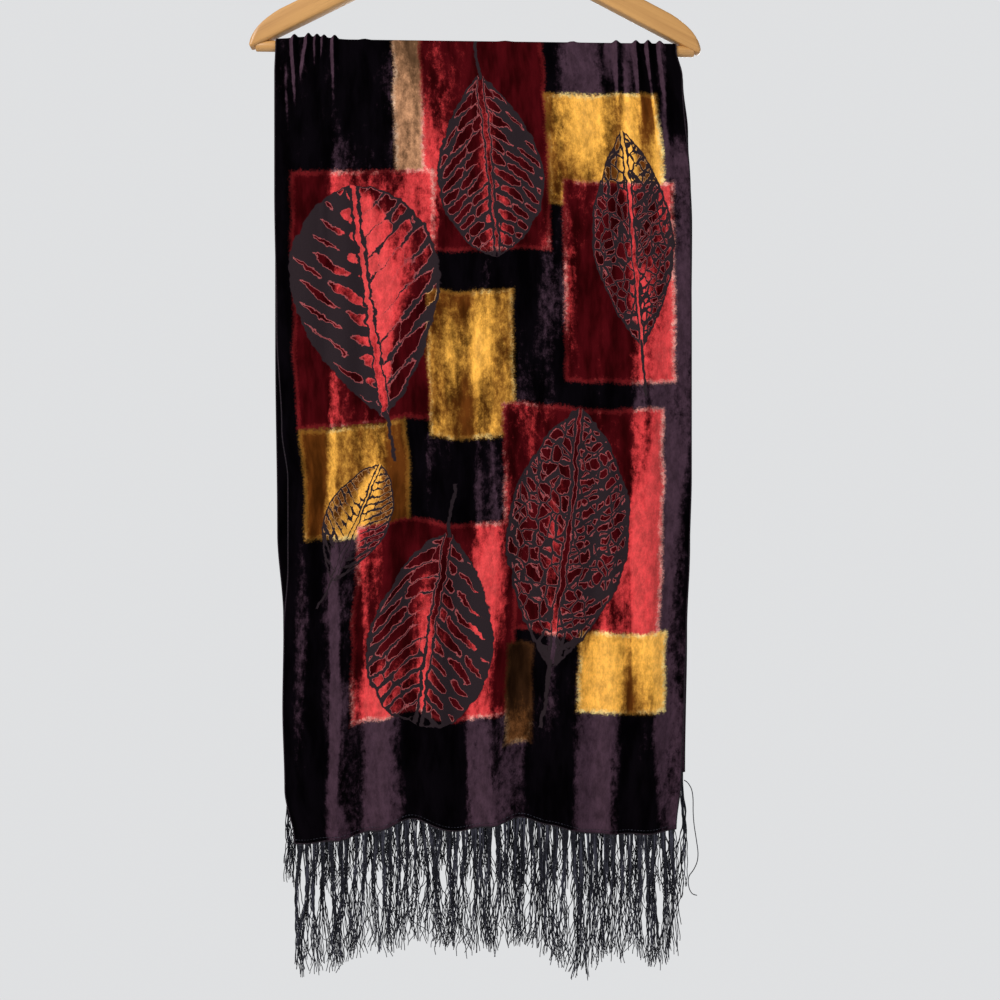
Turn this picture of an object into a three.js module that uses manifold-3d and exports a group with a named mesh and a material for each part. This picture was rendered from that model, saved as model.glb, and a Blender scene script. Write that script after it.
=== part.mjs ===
// Fringed burnout velvet scarf, folded over the bar of a wooden hanger that hangs by its hook.
// Millimetres, +Z up, +X to the right of someone who faces the scarf, the front drop towards -Y.
// The origin is the inside top of the hook, where the rail touches it.

import * as THREE from 'three';
import { mergeVertices } from 'three/addons/utils/BufferGeometryUtils.js';
import Module from 'manifold-3d';

// Driving dimensions

const GAP = 0.3;                // between pieces that touch
const TILT_DEG = 0.75;          // the hanger hangs a little lower on the right

const BAR_DROP = 200;           // hook seat down to the middle of the bar
const BAR_RADIUS = 5.5;
const HANGER_HALF = 222.75;     // middle of the hanger to an arm's tip
const ARM_SLOPE_DEG = 27;
const ARM_WIDTH = 22;           // across the slope
const ARM_DEPTH = 15;
const ARM_EDGE = 2;             // eased edge
const TIP_DROP = 4.5;           // an arm's tip below the middle of the bar
const TIP_ROUND = 5;             // rounding of the tip, along the under edge and up the outer end
const TIP_ROUND_UP = 6;
const SHOULDER = 30;            // the arm's outer end is rounded this far in from its tip
const SHOULDER_PULL = 4;        // corner that the rounding bends towards: in from the tip, and above it
const SHOULDER_RISE = 24;
const PEAK_HALF = 34;           // the peak is rounded this far to each side
const PEAK_TOP_SHARE = 0.8;     // height of the rounded peak as a share of the sharp one, above and below
const PEAK_UNDER_SHARE = 0.6;
const PEAK_TOP_PULL = 0.35;     // how far out each rounding stays flat, as a share of its half width
const PEAK_UNDER_PULL = 0.45;
const BAR_END_INSET = 6;        // bar's end back from the tip

const HOOK_WIRE_RADIUS = 2;
const HOOK_INSIDE_RADIUS = 20;
const HOOK_NECK_RADIUS = 10;    // bend between the shank and the round of the hook
const HOOK_TIP_DEG = 185;
const HOOK_DEPTH = 14;          // shank inside the wood

const WALL = 1.6;               // velvet and its pile
const FRONT_LENGTH = 787;       // bar to the longest point of the front hem
const BACK_LENGTH = 716;        // bar to the longest point of the back hem

const HEM_GAP = 0.35;           // straight down from a hem that slopes
const STRIP_HEIGHT = 3;         // knotted head of the fringe
const STRAND_PITCH = 4.1;
const STRAND_RADIUS = 0.8;
const STRAND_ROOT_RADIUS = 0.68;
const STRAND_TIP_RADIUS = 0.45;
const STRAND_ROOT = 1.2;        // strand inside the strip
const STRAND_SCATTER = 5;       // uneven ends, up and down
const STRAND_TIP_STRAY = 0.4;   // uneven ends, to the sides
const STRAND_BULGE = 2.5;       // how far locks stand out at their ends
const STRAND_MIDDLE_SHARE = 0.45;
const SIDE_REACH = 0.07;        // share of the width whose strands lean outward

// Sideways waves of the strands across the hem: size and length of each

const SWAYS = [
  { size: 3.5, length: 145, shift: 1 },
  { size: 2, length: 383, shift: 2 },
];
const BULGE_LENGTH = 107;

// Side edges of each drop: mm below the bar, then mm left and right of the bar's middle

const FRONT_EDGES = [
  { down: 0, left: -196, right: 198 },
  { down: 28, left: -197, right: 204 },
  { down: 145, left: -197, right: 212 },
  { down: 280, left: -195, right: 213 },
  { down: 380, left: -190, right: 213 },
  { down: 430, left: -184, right: 213 },
  { down: 515, left: -184, right: 211 },
  { down: 580, left: -188, right: 208 },
  { down: 655, left: -189, right: 206 },
  { down: 735, left: -187, right: 203 },
  { down: 787, left: -177, right: 198 },
];

const BACK_EDGES = [
  { down: 0, left: -196, right: 198 },
  { down: 28, left: -196, right: 206 },
  { down: 80, left: -197, right: 211 },
  { down: 172, left: -198, right: 215 },
  { down: 300, left: -198, right: 214 },
  { down: 490, left: -196, right: 213 },
  { down: 575, left: -190, right: 210 },
  { down: 716, left: -187, right: 208 },
];

// Hems: how far each stands above the longest point, by place across the bar

const FRONT_HEM = [
  { x: -200, lift: 2 },
  { x: -176, lift: 0 },
  { x: -137, lift: 4 },
  { x: -98, lift: 14 },
  { x: -63, lift: 26 },
  { x: -19, lift: 14 },
  { x: 14, lift: 20 },
  { x: 44, lift: 29 },
  { x: 73, lift: 22 },
  { x: 114, lift: 14 },
  { x: 156, lift: 14 },
  { x: 215, lift: 20 },
];

const BACK_HEM = [
  { x: -200, lift: 12 },
  { x: -150, lift: 6 },
  { x: -90, lift: 16 },
  { x: -35, lift: 22 },
  { x: 20, lift: 12 },
  { x: 75, lift: 18 },
  { x: 130, lift: 8 },
  { x: 208, lift: 2 },
];

// Long flutes start weak at the bar and reach their full rise above the hem

const FLUTE_START_SHARE = 0.25; // of the rise, reached at FLUTE_START below the bar
const FLUTE_START = 90;
const FLUTE_FULL_AT = 0.87;     // share of the drop

// Long flutes: crest at the bar and at the hem, width foot to foot, rise at the hem

const FRONT_FLUTES = [
  { top: -166, hem: -160, width: 46, rise: 6 },
  { top: -128, hem: -134, width: 40, rise: 7.5 },
  { top: -78, hem: -86, width: 56, rise: 8 },
  { top: -30, hem: -40, width: 48, rise: 6.5 },
  { top: 26, hem: 20, width: 58, rise: 8.5 },
  { top: 86, hem: 92, width: 62, rise: 7.5 },
  { top: 128, hem: 136, width: 38, rise: 6 },
  { top: 168, hem: 172, width: 44, rise: 8 },
];

const BACK_FLUTES = [
  { top: -160, hem: -152, width: 52, rise: 7 },
  { top: -104, hem: -92, width: 60, rise: 8.5 },
  { top: -46, hem: -34, width: 50, rise: 6 },
  { top: 12, hem: 24, width: 62, rise: 8 },
  { top: 76, hem: 78, width: 54, rise: 7 },
  { top: 132, hem: 134, width: 48, rise: 8 },
  { top: 180, hem: 182, width: 40, rise: 5.5 },
];

// Gathers over the bar: crest, width, rise, and how far each runs down the front and the back

const GATHERS = [
  { x: -160, width: 74, rise: 2.6, front: 70, back: 60 },
  { x: -178, width: 13, rise: 2.2, front: 62, back: 30 },
  { x: -165, width: 12, rise: 2.6, front: 46, back: 36 },
  { x: -152, width: 13, rise: 2.2, front: 52, back: 28 },
  { x: -137, width: 12, rise: 2.4, front: 58, back: 44 },
  { x: -108, width: 16, rise: 1.0, front: 34, back: 30 },
  { x: 30, width: 18, rise: 0.8, front: 36, back: 28 },
  { x: 140, width: 13, rise: 2.2, front: 74, back: 40 },
  { x: 158, width: 12, rise: 2.6, front: 60, back: 34 },
  { x: 170, width: 12, rise: 2.8, front: 110, back: 52 },
  { x: 182, width: 12, rise: 2.4, front: 56, back: 38 },
];

// Lowest points of the fringe's outline: strand length by place across the bar

const STRAND_LENGTHS = [
  { x: -200, length: 130 },
  { x: -110, length: 126 },
  { x: -60, length: 122 },
  { x: 0, length: 124 },
  { x: 50, length: 134 },
  { x: 105, length: 142 },
  { x: 130, length: 128 },
  { x: 215, length: 130 },
];

// Columns across the cloth: closer together where it is gathered

const FINE_STEP = 3.1;
const PLAIN_STEP = 9;
const FINE_LEFT_END = 0.165;    // share of the width
const FINE_RIGHT_START = 0.84;
const NOMINAL_WIDTH = 400;
const BACK_COLUMNS = 46;

const FRONT_ROWS = [0, 14, 32, 54, 84, 130, 205, 300, 400, 500, 600, 695, 745, FRONT_LENGTH];
const BACK_ROWS = [0, 24, 54, 120, 220, 340, 460, 580, 660, BACK_LENGTH];
const FOLD_STEPS = 8;

// Worked out from these

const tilt = THREE.MathUtils.degToRad(TILT_DEG);
const barMiddleX = -BAR_DROP * Math.sin(tilt);
const barMiddleZ = -BAR_DROP * Math.cos(tilt);
const clothInside = BAR_RADIUS + GAP;

const barZ = (x) => barMiddleZ - x * Math.tan(tilt);

// Value of a column of a table at a place, with smooth steps between its rows
function tableValue(rows, key, column, place) {
  if (place <= rows[0][key]) return rows[0][column];
  const last = rows[rows.length - 1];
  if (place >= last[key]) return last[column];
  const next = rows.findIndex((row) => row[key] > place);
  const from = rows[next - 1];
  const to = rows[next];
  const share = (place - from[key]) / (to[key] - from[key]);
  return from[column] + (to[column] - from[column]) * share * share * (3 - 2 * share);
}

// Raised cosine: 1 at the crest, 0 at both feet
function crest(distance, width) {
  if (Math.abs(distance) >= width / 2) return 0;
  return 0.5 + 0.5 * Math.cos((2 * Math.PI * distance) / width);
}

const smooth = (share) => {
  const t = Math.min(Math.max(share, 0), 1);
  return t * t * (3 - 2 * t);
};

// How far the cloth stands out from the plane it hangs in; down is negative over the bar
function foldRise(side, x, down) {
  const below = Math.max(down, 0);
  const share = below / side.length;
  let rise = 0;
  for (const flute of side.flutes) {
    const centre = flute.top + (flute.hem - flute.top) * share;
    const started = FLUTE_START_SHARE * smooth(below / FLUTE_START);
    const grown = started + (1 - FLUTE_START_SHARE) * smooth(share / FLUTE_FULL_AT);
    rise += flute.rise * grown * crest(x - centre, flute.width);
  }
  for (const gather of GATHERS) {
    const left = 1 - smooth(below / gather[side.name]);
    rise += gather.rise * left * crest(x - gather.x, gather.width);
  }
  return rise;
}

const FRONT = {
  name: 'front',
  toward: -1,
  length: FRONT_LENGTH,
  edges: FRONT_EDGES,
  hem: FRONT_HEM,
  flutes: FRONT_FLUTES,
  seed: 1,
  leanLeft: 8,
  leanRight: 6,
};

const BACK = {
  name: 'back',
  toward: 1,
  length: BACK_LENGTH,
  edges: BACK_EDGES,
  hem: BACK_HEM,
  flutes: BACK_FLUTES,
  seed: 2,
  leanLeft: 4,
  leanRight: 14,
};

// Place across the bar for a share of the cloth's width, at a distance below the bar
function acrossAt(side, share, down) {
  const left = tableValue(side.edges, 'down', 'left', down);
  const right = tableValue(side.edges, 'down', 'right', down);
  return left + (right - left) * share;
}

const hemLift = (side, x) => tableValue(side.hem, 'x', 'lift', x);

// A point of a drop: share of the width, nominal distance down, and depth into the wall
function dropPoint(side, share, down, depth, extra = 0) {
  const x = acrossAt(side, share, down);
  const real = GAP + down * (1 - (hemLift(side, x) + GAP) / side.length) + extra;
  const y = side.toward * (clothInside + foldRise(side, x, down) + depth);
  return new THREE.Vector3(barMiddleX + x, y, barZ(x) - real);
}

// A point of the turn over the bar: angle 0 at the front, half a turn at the back
function turnPoint(share, angle, depth) {
  const x = acrossAt(FRONT, share, 0);
  const radius = clothInside + foldRise(FRONT, x, 0) + depth;
  return new THREE.Vector3(barMiddleX + x, -radius * Math.cos(angle), barZ(x) + radius * Math.sin(angle));
}

// Closed geometry from points and triangles, turned to face outward
function closedGeometry(points, triangles) {
  let volume = 0;
  for (const [a, b, c] of triangles) {
    volume += points[a].dot(new THREE.Vector3().crossVectors(points[b], points[c]));
  }
  const faces = volume > 0 ? triangles : triangles.map(([a, b, c]) => [a, c, b]);
  const geometry = new THREE.BufferGeometry().setFromPoints(points);
  geometry.setIndex(faces.flat());
  return geometry;
}

// A wall between an inner and an outer grid of points, closed round its rim
function wallGeometry(columns, rows, place) {
  const across = columns.length;
  const layer = across * rows.length;
  const points = [];
  for (const depth of [0, WALL]) {
    for (const row of rows) {
      for (const column of columns) points.push(place(column, row, depth));
    }
  }
  const triangles = [];
  const quad = (a, b, c, d) => triangles.push([a, b, c], [a, c, d]);
  const at = (column, row, outer) => outer * layer + row * across + column;
  const lastColumn = across - 1;
  const lastRow = rows.length - 1;
  for (let row = 0; row < lastRow; row += 1) {
    for (let column = 0; column < lastColumn; column += 1) {
      quad(at(column, row, 1), at(column + 1, row, 1), at(column + 1, row + 1, 1), at(column, row + 1, 1));
      quad(at(column, row + 1, 0), at(column + 1, row + 1, 0), at(column + 1, row, 0), at(column, row, 0));
    }
    quad(at(0, row, 0), at(0, row, 1), at(0, row + 1, 1), at(0, row + 1, 0));
    quad(
      at(lastColumn, row + 1, 0), at(lastColumn, row + 1, 1), at(lastColumn, row, 1), at(lastColumn, row, 0),
    );
  }
  for (let column = 0; column < lastColumn; column += 1) {
    quad(at(column + 1, 0, 0), at(column + 1, 0, 1), at(column, 0, 1), at(column, 0, 0));
    quad(
      at(column, lastRow, 0), at(column, lastRow, 1), at(column + 1, lastRow, 1), at(column + 1, lastRow, 0),
    );
  }
  return closedGeometry(points, triangles);
}

function evenSteps(from, to, count) {
  return Array.from({ length: count + 1 }, (_, i) => from + ((to - from) * i) / count);
}

// Columns as shares of the width, fine at both gathered ends
function clothColumns() {
  const stretch = (from, to, step) => evenSteps(from, to, Math.round(((to - from) * NOMINAL_WIDTH) / step));
  const left = stretch(0, FINE_LEFT_END, FINE_STEP);
  const middle = stretch(FINE_LEFT_END, FINE_RIGHT_START, PLAIN_STEP);
  const right = stretch(FINE_RIGHT_START, 1, FINE_STEP);
  return [...left, ...middle.slice(1, -1), ...right];
}

// Joining and cutting of closed solids

const wasm = await Module();
wasm.setup();

function toSolid(geometry) {
  const bare = geometry.clone();
  bare.deleteAttribute('normal');
  bare.deleteAttribute('uv');
  const merged = mergeVertices(bare, 1e-4);
  return new wasm.Manifold(new wasm.Mesh({
    numProp: 3,
    vertProperties: new Float32Array(merged.attributes.position.array),
    triVerts: new Uint32Array(merged.index.array),
  }));
}

function toGeometry(solid) {
  const mesh = solid.getMesh();
  const geometry = new THREE.BufferGeometry();
  geometry.setAttribute('position', new THREE.BufferAttribute(new Float32Array(mesh.vertProperties), 3));
  geometry.setIndex(new THREE.BufferAttribute(new Uint32Array(mesh.triVerts), 1));
  return geometry;
}

// Velvet

const frontDropGeometry = () => wallGeometry(
  clothColumns(), FRONT_ROWS, (share, down, depth) => dropPoint(FRONT, share, down, depth),
);

const backColumns = () => evenSteps(0, 1, BACK_COLUMNS);

const backDropGeometry = () => wallGeometry(
  backColumns(), BACK_ROWS, (share, down, depth) => dropPoint(BACK, share, down, depth),
);

const barTurnGeometry = () => wallGeometry(clothColumns(), evenSteps(0, Math.PI, FOLD_STEPS), turnPoint);

// Fringe: a narrow strip along the hem, and three-sided strands that grow from it

// A steady number between -1 and 1 for each strand
const scatter = (index, seed) => {
  const wave = Math.sin(index * 12.9898 + seed * 78.233) * 43758.5453;
  return 2 * (wave - Math.floor(wave)) - 1;
};

function strandGeometry(stations) {
  const points = [];
  const triangles = [];
  for (const { centre, radius } of stations) {
    for (let corner = 0; corner < 3; corner += 1) {
      const angle = (corner * 2 * Math.PI) / 3 + Math.PI / 2;
      points.push(new THREE.Vector3(radius * Math.cos(angle), radius * Math.sin(angle), 0).add(centre));
    }
  }
  for (let ring = 0; ring < stations.length - 1; ring += 1) {
    for (let corner = 0; corner < 3; corner += 1) {
      const a = ring * 3 + corner;
      const b = ring * 3 + ((corner + 1) % 3);
      triangles.push([a, b, b + 3], [a, b + 3, a + 3]);
    }
  }
  const end = points.length - 3;
  triangles.push([0, 2, 1], [end, end + 1, end + 2]);
  return closedGeometry(points, triangles);
}

// Strands near a side lean outward
function sideLean(share) {
  const left = smooth((SIDE_REACH - share) / SIDE_REACH);
  const right = smooth((share - 1 + SIDE_REACH) / SIDE_REACH);
  return { left, right };
}

function fringeGeometry(side, columns) {
  const strip = wallGeometry(columns, [HEM_GAP, HEM_GAP + STRIP_HEIGHT], (share, extra, depth) => (
    dropPoint(side, share, side.length, depth, extra)
  ));
  const width = acrossAt(side, 1, side.length) - acrossAt(side, 0, side.length);
  const count = Math.floor(width / STRAND_PITCH);
  const { seed } = side;
  let solid = toSolid(strip);
  for (let index = 0; index < count; index += 1) {
    const share = (index + 0.5) / count;
    const root = dropPoint(side, share, side.length, WALL / 2, HEM_GAP + STRIP_HEIGHT - STRAND_ROOT);
    const x = acrossAt(side, share, side.length);
    const lean = sideLean(share);
    let swayX = side.leanRight * lean.right - side.leanLeft * lean.left;
    for (const wave of SWAYS) {
      swayX += wave.size * Math.sin((2 * Math.PI * x) / wave.length + wave.shift * seed);
    }
    const swayY = side.toward * STRAND_BULGE * Math.sin((Math.PI * x) / BULGE_LENGTH + seed) ** 2;
    const length = tableValue(STRAND_LENGTHS, 'x', 'length', x) + STRAND_SCATTER * scatter(index, seed);
    const tipX = swayX + STRAND_TIP_STRAY * scatter(index, seed + 1);
    const middle = new THREE.Vector3(swayX * STRAND_MIDDLE_SHARE, swayY / 2, -length / 2).add(root);
    const tip = new THREE.Vector3(tipX, swayY, -length).add(root);
    const stations = [
      { centre: root, radius: STRAND_ROOT_RADIUS },
      { centre: middle, radius: STRAND_RADIUS },
      { centre: tip, radius: STRAND_TIP_RADIUS },
    ];
    solid = solid.add(toSolid(strandGeometry(stations)));
  }
  return toGeometry(solid);
}

// Hanger, drawn level; its nodes are turned about the hook seat by the tilt

const slope = Math.tan(THREE.MathUtils.degToRad(ARM_SLOPE_DEG));
const armRise = ARM_WIDTH / Math.cos(THREE.MathUtils.degToRad(ARM_SLOPE_DEG));
const tipZ = -BAR_DROP - TIP_DROP;
const underEdge = (x) => tipZ + (HANGER_HALF - x) * slope;
const peakTop = underEdge(PEAK_HALF) + armRise + PEAK_HALF * slope * PEAK_TOP_SHARE;
const peakUnder = underEdge(PEAK_HALF) + PEAK_HALF * slope * PEAK_UNDER_SHARE;

function armsOutline() {
  const shape = new THREE.Shape();
  shape.moveTo(0, peakUnder);
  shape.quadraticCurveTo(PEAK_HALF * PEAK_UNDER_PULL, peakUnder, PEAK_HALF, underEdge(PEAK_HALF));
  shape.lineTo(HANGER_HALF - TIP_ROUND, underEdge(HANGER_HALF - TIP_ROUND));
  shape.quadraticCurveTo(HANGER_HALF, tipZ, HANGER_HALF, tipZ + TIP_ROUND_UP);
  const shoulderX = HANGER_HALF - SHOULDER;
  const shoulderZ = underEdge(shoulderX) + armRise;
  shape.quadraticCurveTo(HANGER_HALF - SHOULDER_PULL, tipZ + SHOULDER_RISE, shoulderX, shoulderZ);
  shape.lineTo(PEAK_HALF, underEdge(PEAK_HALF) + armRise);
  shape.quadraticCurveTo(PEAK_HALF * PEAK_TOP_PULL, peakTop, 0, peakTop);
  const right = shape.getPoints(5);
  const left = right.slice(1, -1).reverse().map((point) => new THREE.Vector2(-point.x, point.y));
  return new THREE.Shape([...right, ...left]);
}

function standUp(geometry) {
  return geometry.rotateX(Math.PI / 2);
}

function armsBlank() {
  const blank = new THREE.ExtrudeGeometry(armsOutline(), {
    depth: ARM_DEPTH - 2 * ARM_EDGE,
    bevelThickness: ARM_EDGE,
    bevelSize: ARM_EDGE,
    bevelOffset: -ARM_EDGE,
    bevelSegments: 2,
    steps: 1,
  });
  blank.translate(0, 0, ARM_EDGE - ARM_DEPTH / 2);
  return toSolid(standUp(blank));
}

const barHalf = HANGER_HALF - BAR_END_INSET;

function barRod(radius, half) {
  const rod = new THREE.CylinderGeometry(radius, radius, 2 * half, 20);
  return rod.rotateZ(Math.PI / 2).translate(0, 0, -BAR_DROP);
}

function hookRod(radius, depth) {
  const rod = new THREE.CylinderGeometry(radius, radius, 2 * depth, 16);
  return standUp(rod).translate(0, 0, peakTop);
}

function armSolid(toward) {
  const half = new THREE.BoxGeometry(2 * HANGER_HALF, 4 * ARM_DEPTH, 4 * BAR_DROP);
  half.translate(toward * (HANGER_HALF + GAP / 2), 0, -BAR_DROP);
  return armsBlank()
    .intersect(toSolid(half))
    .subtract(toSolid(barRod(BAR_RADIUS + GAP, barHalf + GAP)))
    .subtract(toSolid(hookRod(HOOK_WIRE_RADIUS + GAP, HOOK_DEPTH + GAP)));
}

// Hook: straight shank, short bend one way, long round bend the other way
class ArcInXZ extends THREE.Curve {
  constructor(centreX, centreZ, radius, fromDeg, toDeg) {
    super();
    Object.assign(this, { centreX, centreZ, radius, fromDeg, toDeg });
  }

  getPoint(t, target = new THREE.Vector3()) {
    const angle = THREE.MathUtils.degToRad(this.fromDeg + (this.toDeg - this.fromDeg) * t);
    return target.set(
      this.centreX + this.radius * Math.cos(angle), 0, this.centreZ + this.radius * Math.sin(angle),
    );
  }
}

function hookGeometry() {
  const round = HOOK_INSIDE_RADIUS + HOOK_WIRE_RADIUS;
  const roundZ = -HOOK_INSIDE_RADIUS;
  const between = round + HOOK_NECK_RADIUS;
  const neckZ = roundZ - Math.sqrt(between * between - HOOK_NECK_RADIUS * HOOK_NECK_RADIUS);
  const meetDeg = THREE.MathUtils.radToDeg(Math.atan2(neckZ - roundZ, HOOK_NECK_RADIUS));
  const path = new THREE.CurvePath();
  const foot = new THREE.Vector3(0, 0, peakTop - HOOK_DEPTH);
  path.add(new THREE.LineCurve3(foot, new THREE.Vector3(0, 0, neckZ)));
  path.add(new ArcInXZ(HOOK_NECK_RADIUS, neckZ, HOOK_NECK_RADIUS, 180, 180 + meetDeg));
  path.add(new ArcInXZ(0, roundZ, round, meetDeg, HOOK_TIP_DEG));
  const corners = evenSteps(0, 2 * Math.PI, 8).slice(0, -1);
  const section = corners.map((angle) => (
    new THREE.Vector2(HOOK_WIRE_RADIUS * Math.cos(angle), HOOK_WIRE_RADIUS * Math.sin(angle))
  ));
  return new THREE.ExtrudeGeometry(new THREE.Shape(section), { steps: 40, extrudePath: path });
}

// Materials

const velvet = new THREE.MeshStandardMaterial({ color: 0x2a1a26, roughness: 0.85, metalness: 0 });
const thread = new THREE.MeshStandardMaterial({ color: 0x14141c, roughness: 0.6, metalness: 0 });
const wood = new THREE.MeshStandardMaterial({ color: 0xd19a58, roughness: 0.5, metalness: 0 });
const steel = new THREE.MeshStandardMaterial({ color: 0xb9babd, roughness: 0.3, metalness: 1 });

// The object

const group = new THREE.Group();

function addNode(parent, name, geometry, material) {
  const node = new THREE.Mesh(geometry, material);
  node.name = name;
  parent.add(node);
}

addNode(group, 'scarf_front_drop', frontDropGeometry(), velvet);
addNode(group, 'scarf_bar_turn', barTurnGeometry(), velvet);
addNode(group, 'scarf_back_drop', backDropGeometry(), velvet);
addNode(group, 'fringe_front', fringeGeometry(FRONT, clothColumns()), thread);
addNode(group, 'fringe_back', fringeGeometry(BACK, backColumns()), thread);

const hanger = new THREE.Group();
hanger.rotation.y = tilt;
addNode(hanger, 'hanger_arm_left', toGeometry(armSolid(-1)), wood);
addNode(hanger, 'hanger_arm_right', toGeometry(armSolid(1)), wood);
addNode(hanger, 'hanger_bar', barRod(BAR_RADIUS, barHalf), wood);
addNode(hanger, 'hanger_hook', hookGeometry(), steel);
group.add(hanger);

export default group;
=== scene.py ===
import math
from functools import partialmethod

import bpy
import numpy as np
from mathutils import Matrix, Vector


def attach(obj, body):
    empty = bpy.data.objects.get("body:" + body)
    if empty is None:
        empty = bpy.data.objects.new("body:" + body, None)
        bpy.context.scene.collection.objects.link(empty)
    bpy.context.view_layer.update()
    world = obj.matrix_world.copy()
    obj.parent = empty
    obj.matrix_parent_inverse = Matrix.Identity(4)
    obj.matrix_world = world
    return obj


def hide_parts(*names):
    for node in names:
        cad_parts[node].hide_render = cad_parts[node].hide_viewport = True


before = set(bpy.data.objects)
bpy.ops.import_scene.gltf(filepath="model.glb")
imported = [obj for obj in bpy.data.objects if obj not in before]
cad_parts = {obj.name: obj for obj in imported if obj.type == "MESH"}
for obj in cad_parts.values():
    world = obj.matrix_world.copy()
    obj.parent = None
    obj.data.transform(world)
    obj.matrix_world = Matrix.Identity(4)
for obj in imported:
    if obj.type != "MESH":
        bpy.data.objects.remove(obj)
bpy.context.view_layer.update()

bl_info = {
    "name": "Hanging velvet scarf",
    "version": (1, 0, 0),
    "blender": (4, 5, 0),
    "location": "View3D > Sidebar > Scarf",
    "description": "A fringed burnout velvet scarf over the bar of a wooden hanger",
    "category": "Add Mesh",
}

BODY = "root"

# Metres. X is right, the front drop faces -Y, Z is up, and the origin is the hook's seat.


def table(columns, *rows):
    """Named columns, as arrays, from rows of numbers."""
    return dict(zip(columns.split(), np.array(rows, float).T))


# Side edges of each drop, by distance below the bar, from the bar's middle

FRONT_EDGES = table(
    "down left right",
    (0.000, -0.196, 0.198),
    (0.028, -0.197, 0.204),
    (0.145, -0.197, 0.212),
    (0.280, -0.195, 0.213),
    (0.380, -0.190, 0.213),
    (0.430, -0.184, 0.213),
    (0.515, -0.184, 0.211),
    (0.580, -0.188, 0.208),
    (0.655, -0.189, 0.206),
    (0.735, -0.187, 0.203),
    (0.787, -0.177, 0.198),
)
BACK_EDGES = table(
    "down left right",
    (0.000, -0.196, 0.198),
    (0.028, -0.196, 0.206),
    (0.080, -0.197, 0.211),
    (0.172, -0.198, 0.215),
    (0.300, -0.198, 0.214),
    (0.490, -0.196, 0.213),
    (0.575, -0.190, 0.210),
    (0.716, -0.187, 0.208),
)

# Width that the cloth's colours are laid out in: the front drop's, 0.28 m below the bar

LAID_WIDTH = FRONT_EDGES["right"][3] - FRONT_EDGES["left"][3]

# Hems: how far each stands above its longest point

FRONT_HEM = table(
    "x lift",
    (-0.200, 0.002),
    (-0.176, 0.000),
    (-0.137, 0.004),
    (-0.098, 0.014),
    (-0.063, 0.026),
    (-0.019, 0.014),
    (0.014, 0.020),
    (0.044, 0.029),
    (0.073, 0.022),
    (0.114, 0.014),
    (0.156, 0.014),
    (0.215, 0.020),
)
BACK_HEM = table(
    "x lift",
    (-0.200, 0.012),
    (-0.150, 0.006),
    (-0.090, 0.016),
    (-0.035, 0.022),
    (0.020, 0.012),
    (0.075, 0.018),
    (0.130, 0.008),
    (0.208, 0.002),
)

# Long flutes: crest at the bar and at the hem, width, rise at the hem, and how far the crest wanders

FRONT_FLUTES = table(
    "top hem width rise wander",
    (-0.166, -0.160, 0.046, 0.0060, 0.002),
    (-0.128, -0.134, 0.040, 0.0075, -0.003),
    (-0.078, -0.086, 0.056, 0.0080, 0.003),
    (-0.030, -0.040, 0.048, 0.0065, -0.002),
    (0.026, 0.020, 0.058, 0.0085, 0.003),
    (0.086, 0.092, 0.062, 0.0075, -0.003),
    (0.128, 0.136, 0.038, 0.0060, 0.002),
    (0.168, 0.172, 0.044, 0.0080, -0.002),
)
BACK_FLUTES = table(
    "top hem width rise wander",
    (-0.160, -0.152, 0.052, 0.0070, 0.003),
    (-0.104, -0.092, 0.060, 0.0085, -0.002),
    (-0.046, -0.034, 0.050, 0.0060, 0.002),
    (0.012, 0.024, 0.062, 0.0080, -0.003),
    (0.076, 0.078, 0.054, 0.0070, 0.003),
    (0.132, 0.134, 0.048, 0.0080, -0.002),
    (0.180, 0.182, 0.040, 0.0055, 0.002),
)

# Gathers over the bar: crest, width, rise, how far each runs down, and its sideways drift on the way

GATHERS = table(
    "x width rise front back drift",
    (-0.160, 0.074, 0.0024, 0.070, 0.060, 0.000),
    (-0.1785, 0.0090, 0.0034, 0.085, 0.030, 0.0050),
    (-0.1645, 0.0085, 0.0036, 0.052, 0.036, -0.0095),
    (-0.1560, 0.0080, 0.0028, 0.048, 0.028, 0.0010),
    (-0.1490, 0.0075, 0.0026, 0.046, 0.030, -0.0035),
    (-0.1385, 0.0090, 0.0034, 0.072, 0.044, 0.0020),
    (-0.1090, 0.0140, 0.0010, 0.034, 0.030, 0.0020),
    (0.030, 0.018, 0.0008, 0.036, 0.028, 0.002),
    (0.0965, 0.0120, 0.0012, 0.060, 0.024, 0.003),
    (0.1395, 0.0100, 0.0028, 0.095, 0.040, 0.006),
    (0.1590, 0.0095, 0.0030, 0.120, 0.034, 0.012),
    (0.1710, 0.0090, 0.0034, 0.150, 0.052, 0.018),
    (0.1825, 0.0090, 0.0028, 0.080, 0.038, 0.010),
)

# Soft creases between the flutes: start and end below the bar, place, drift, width and rise

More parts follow.
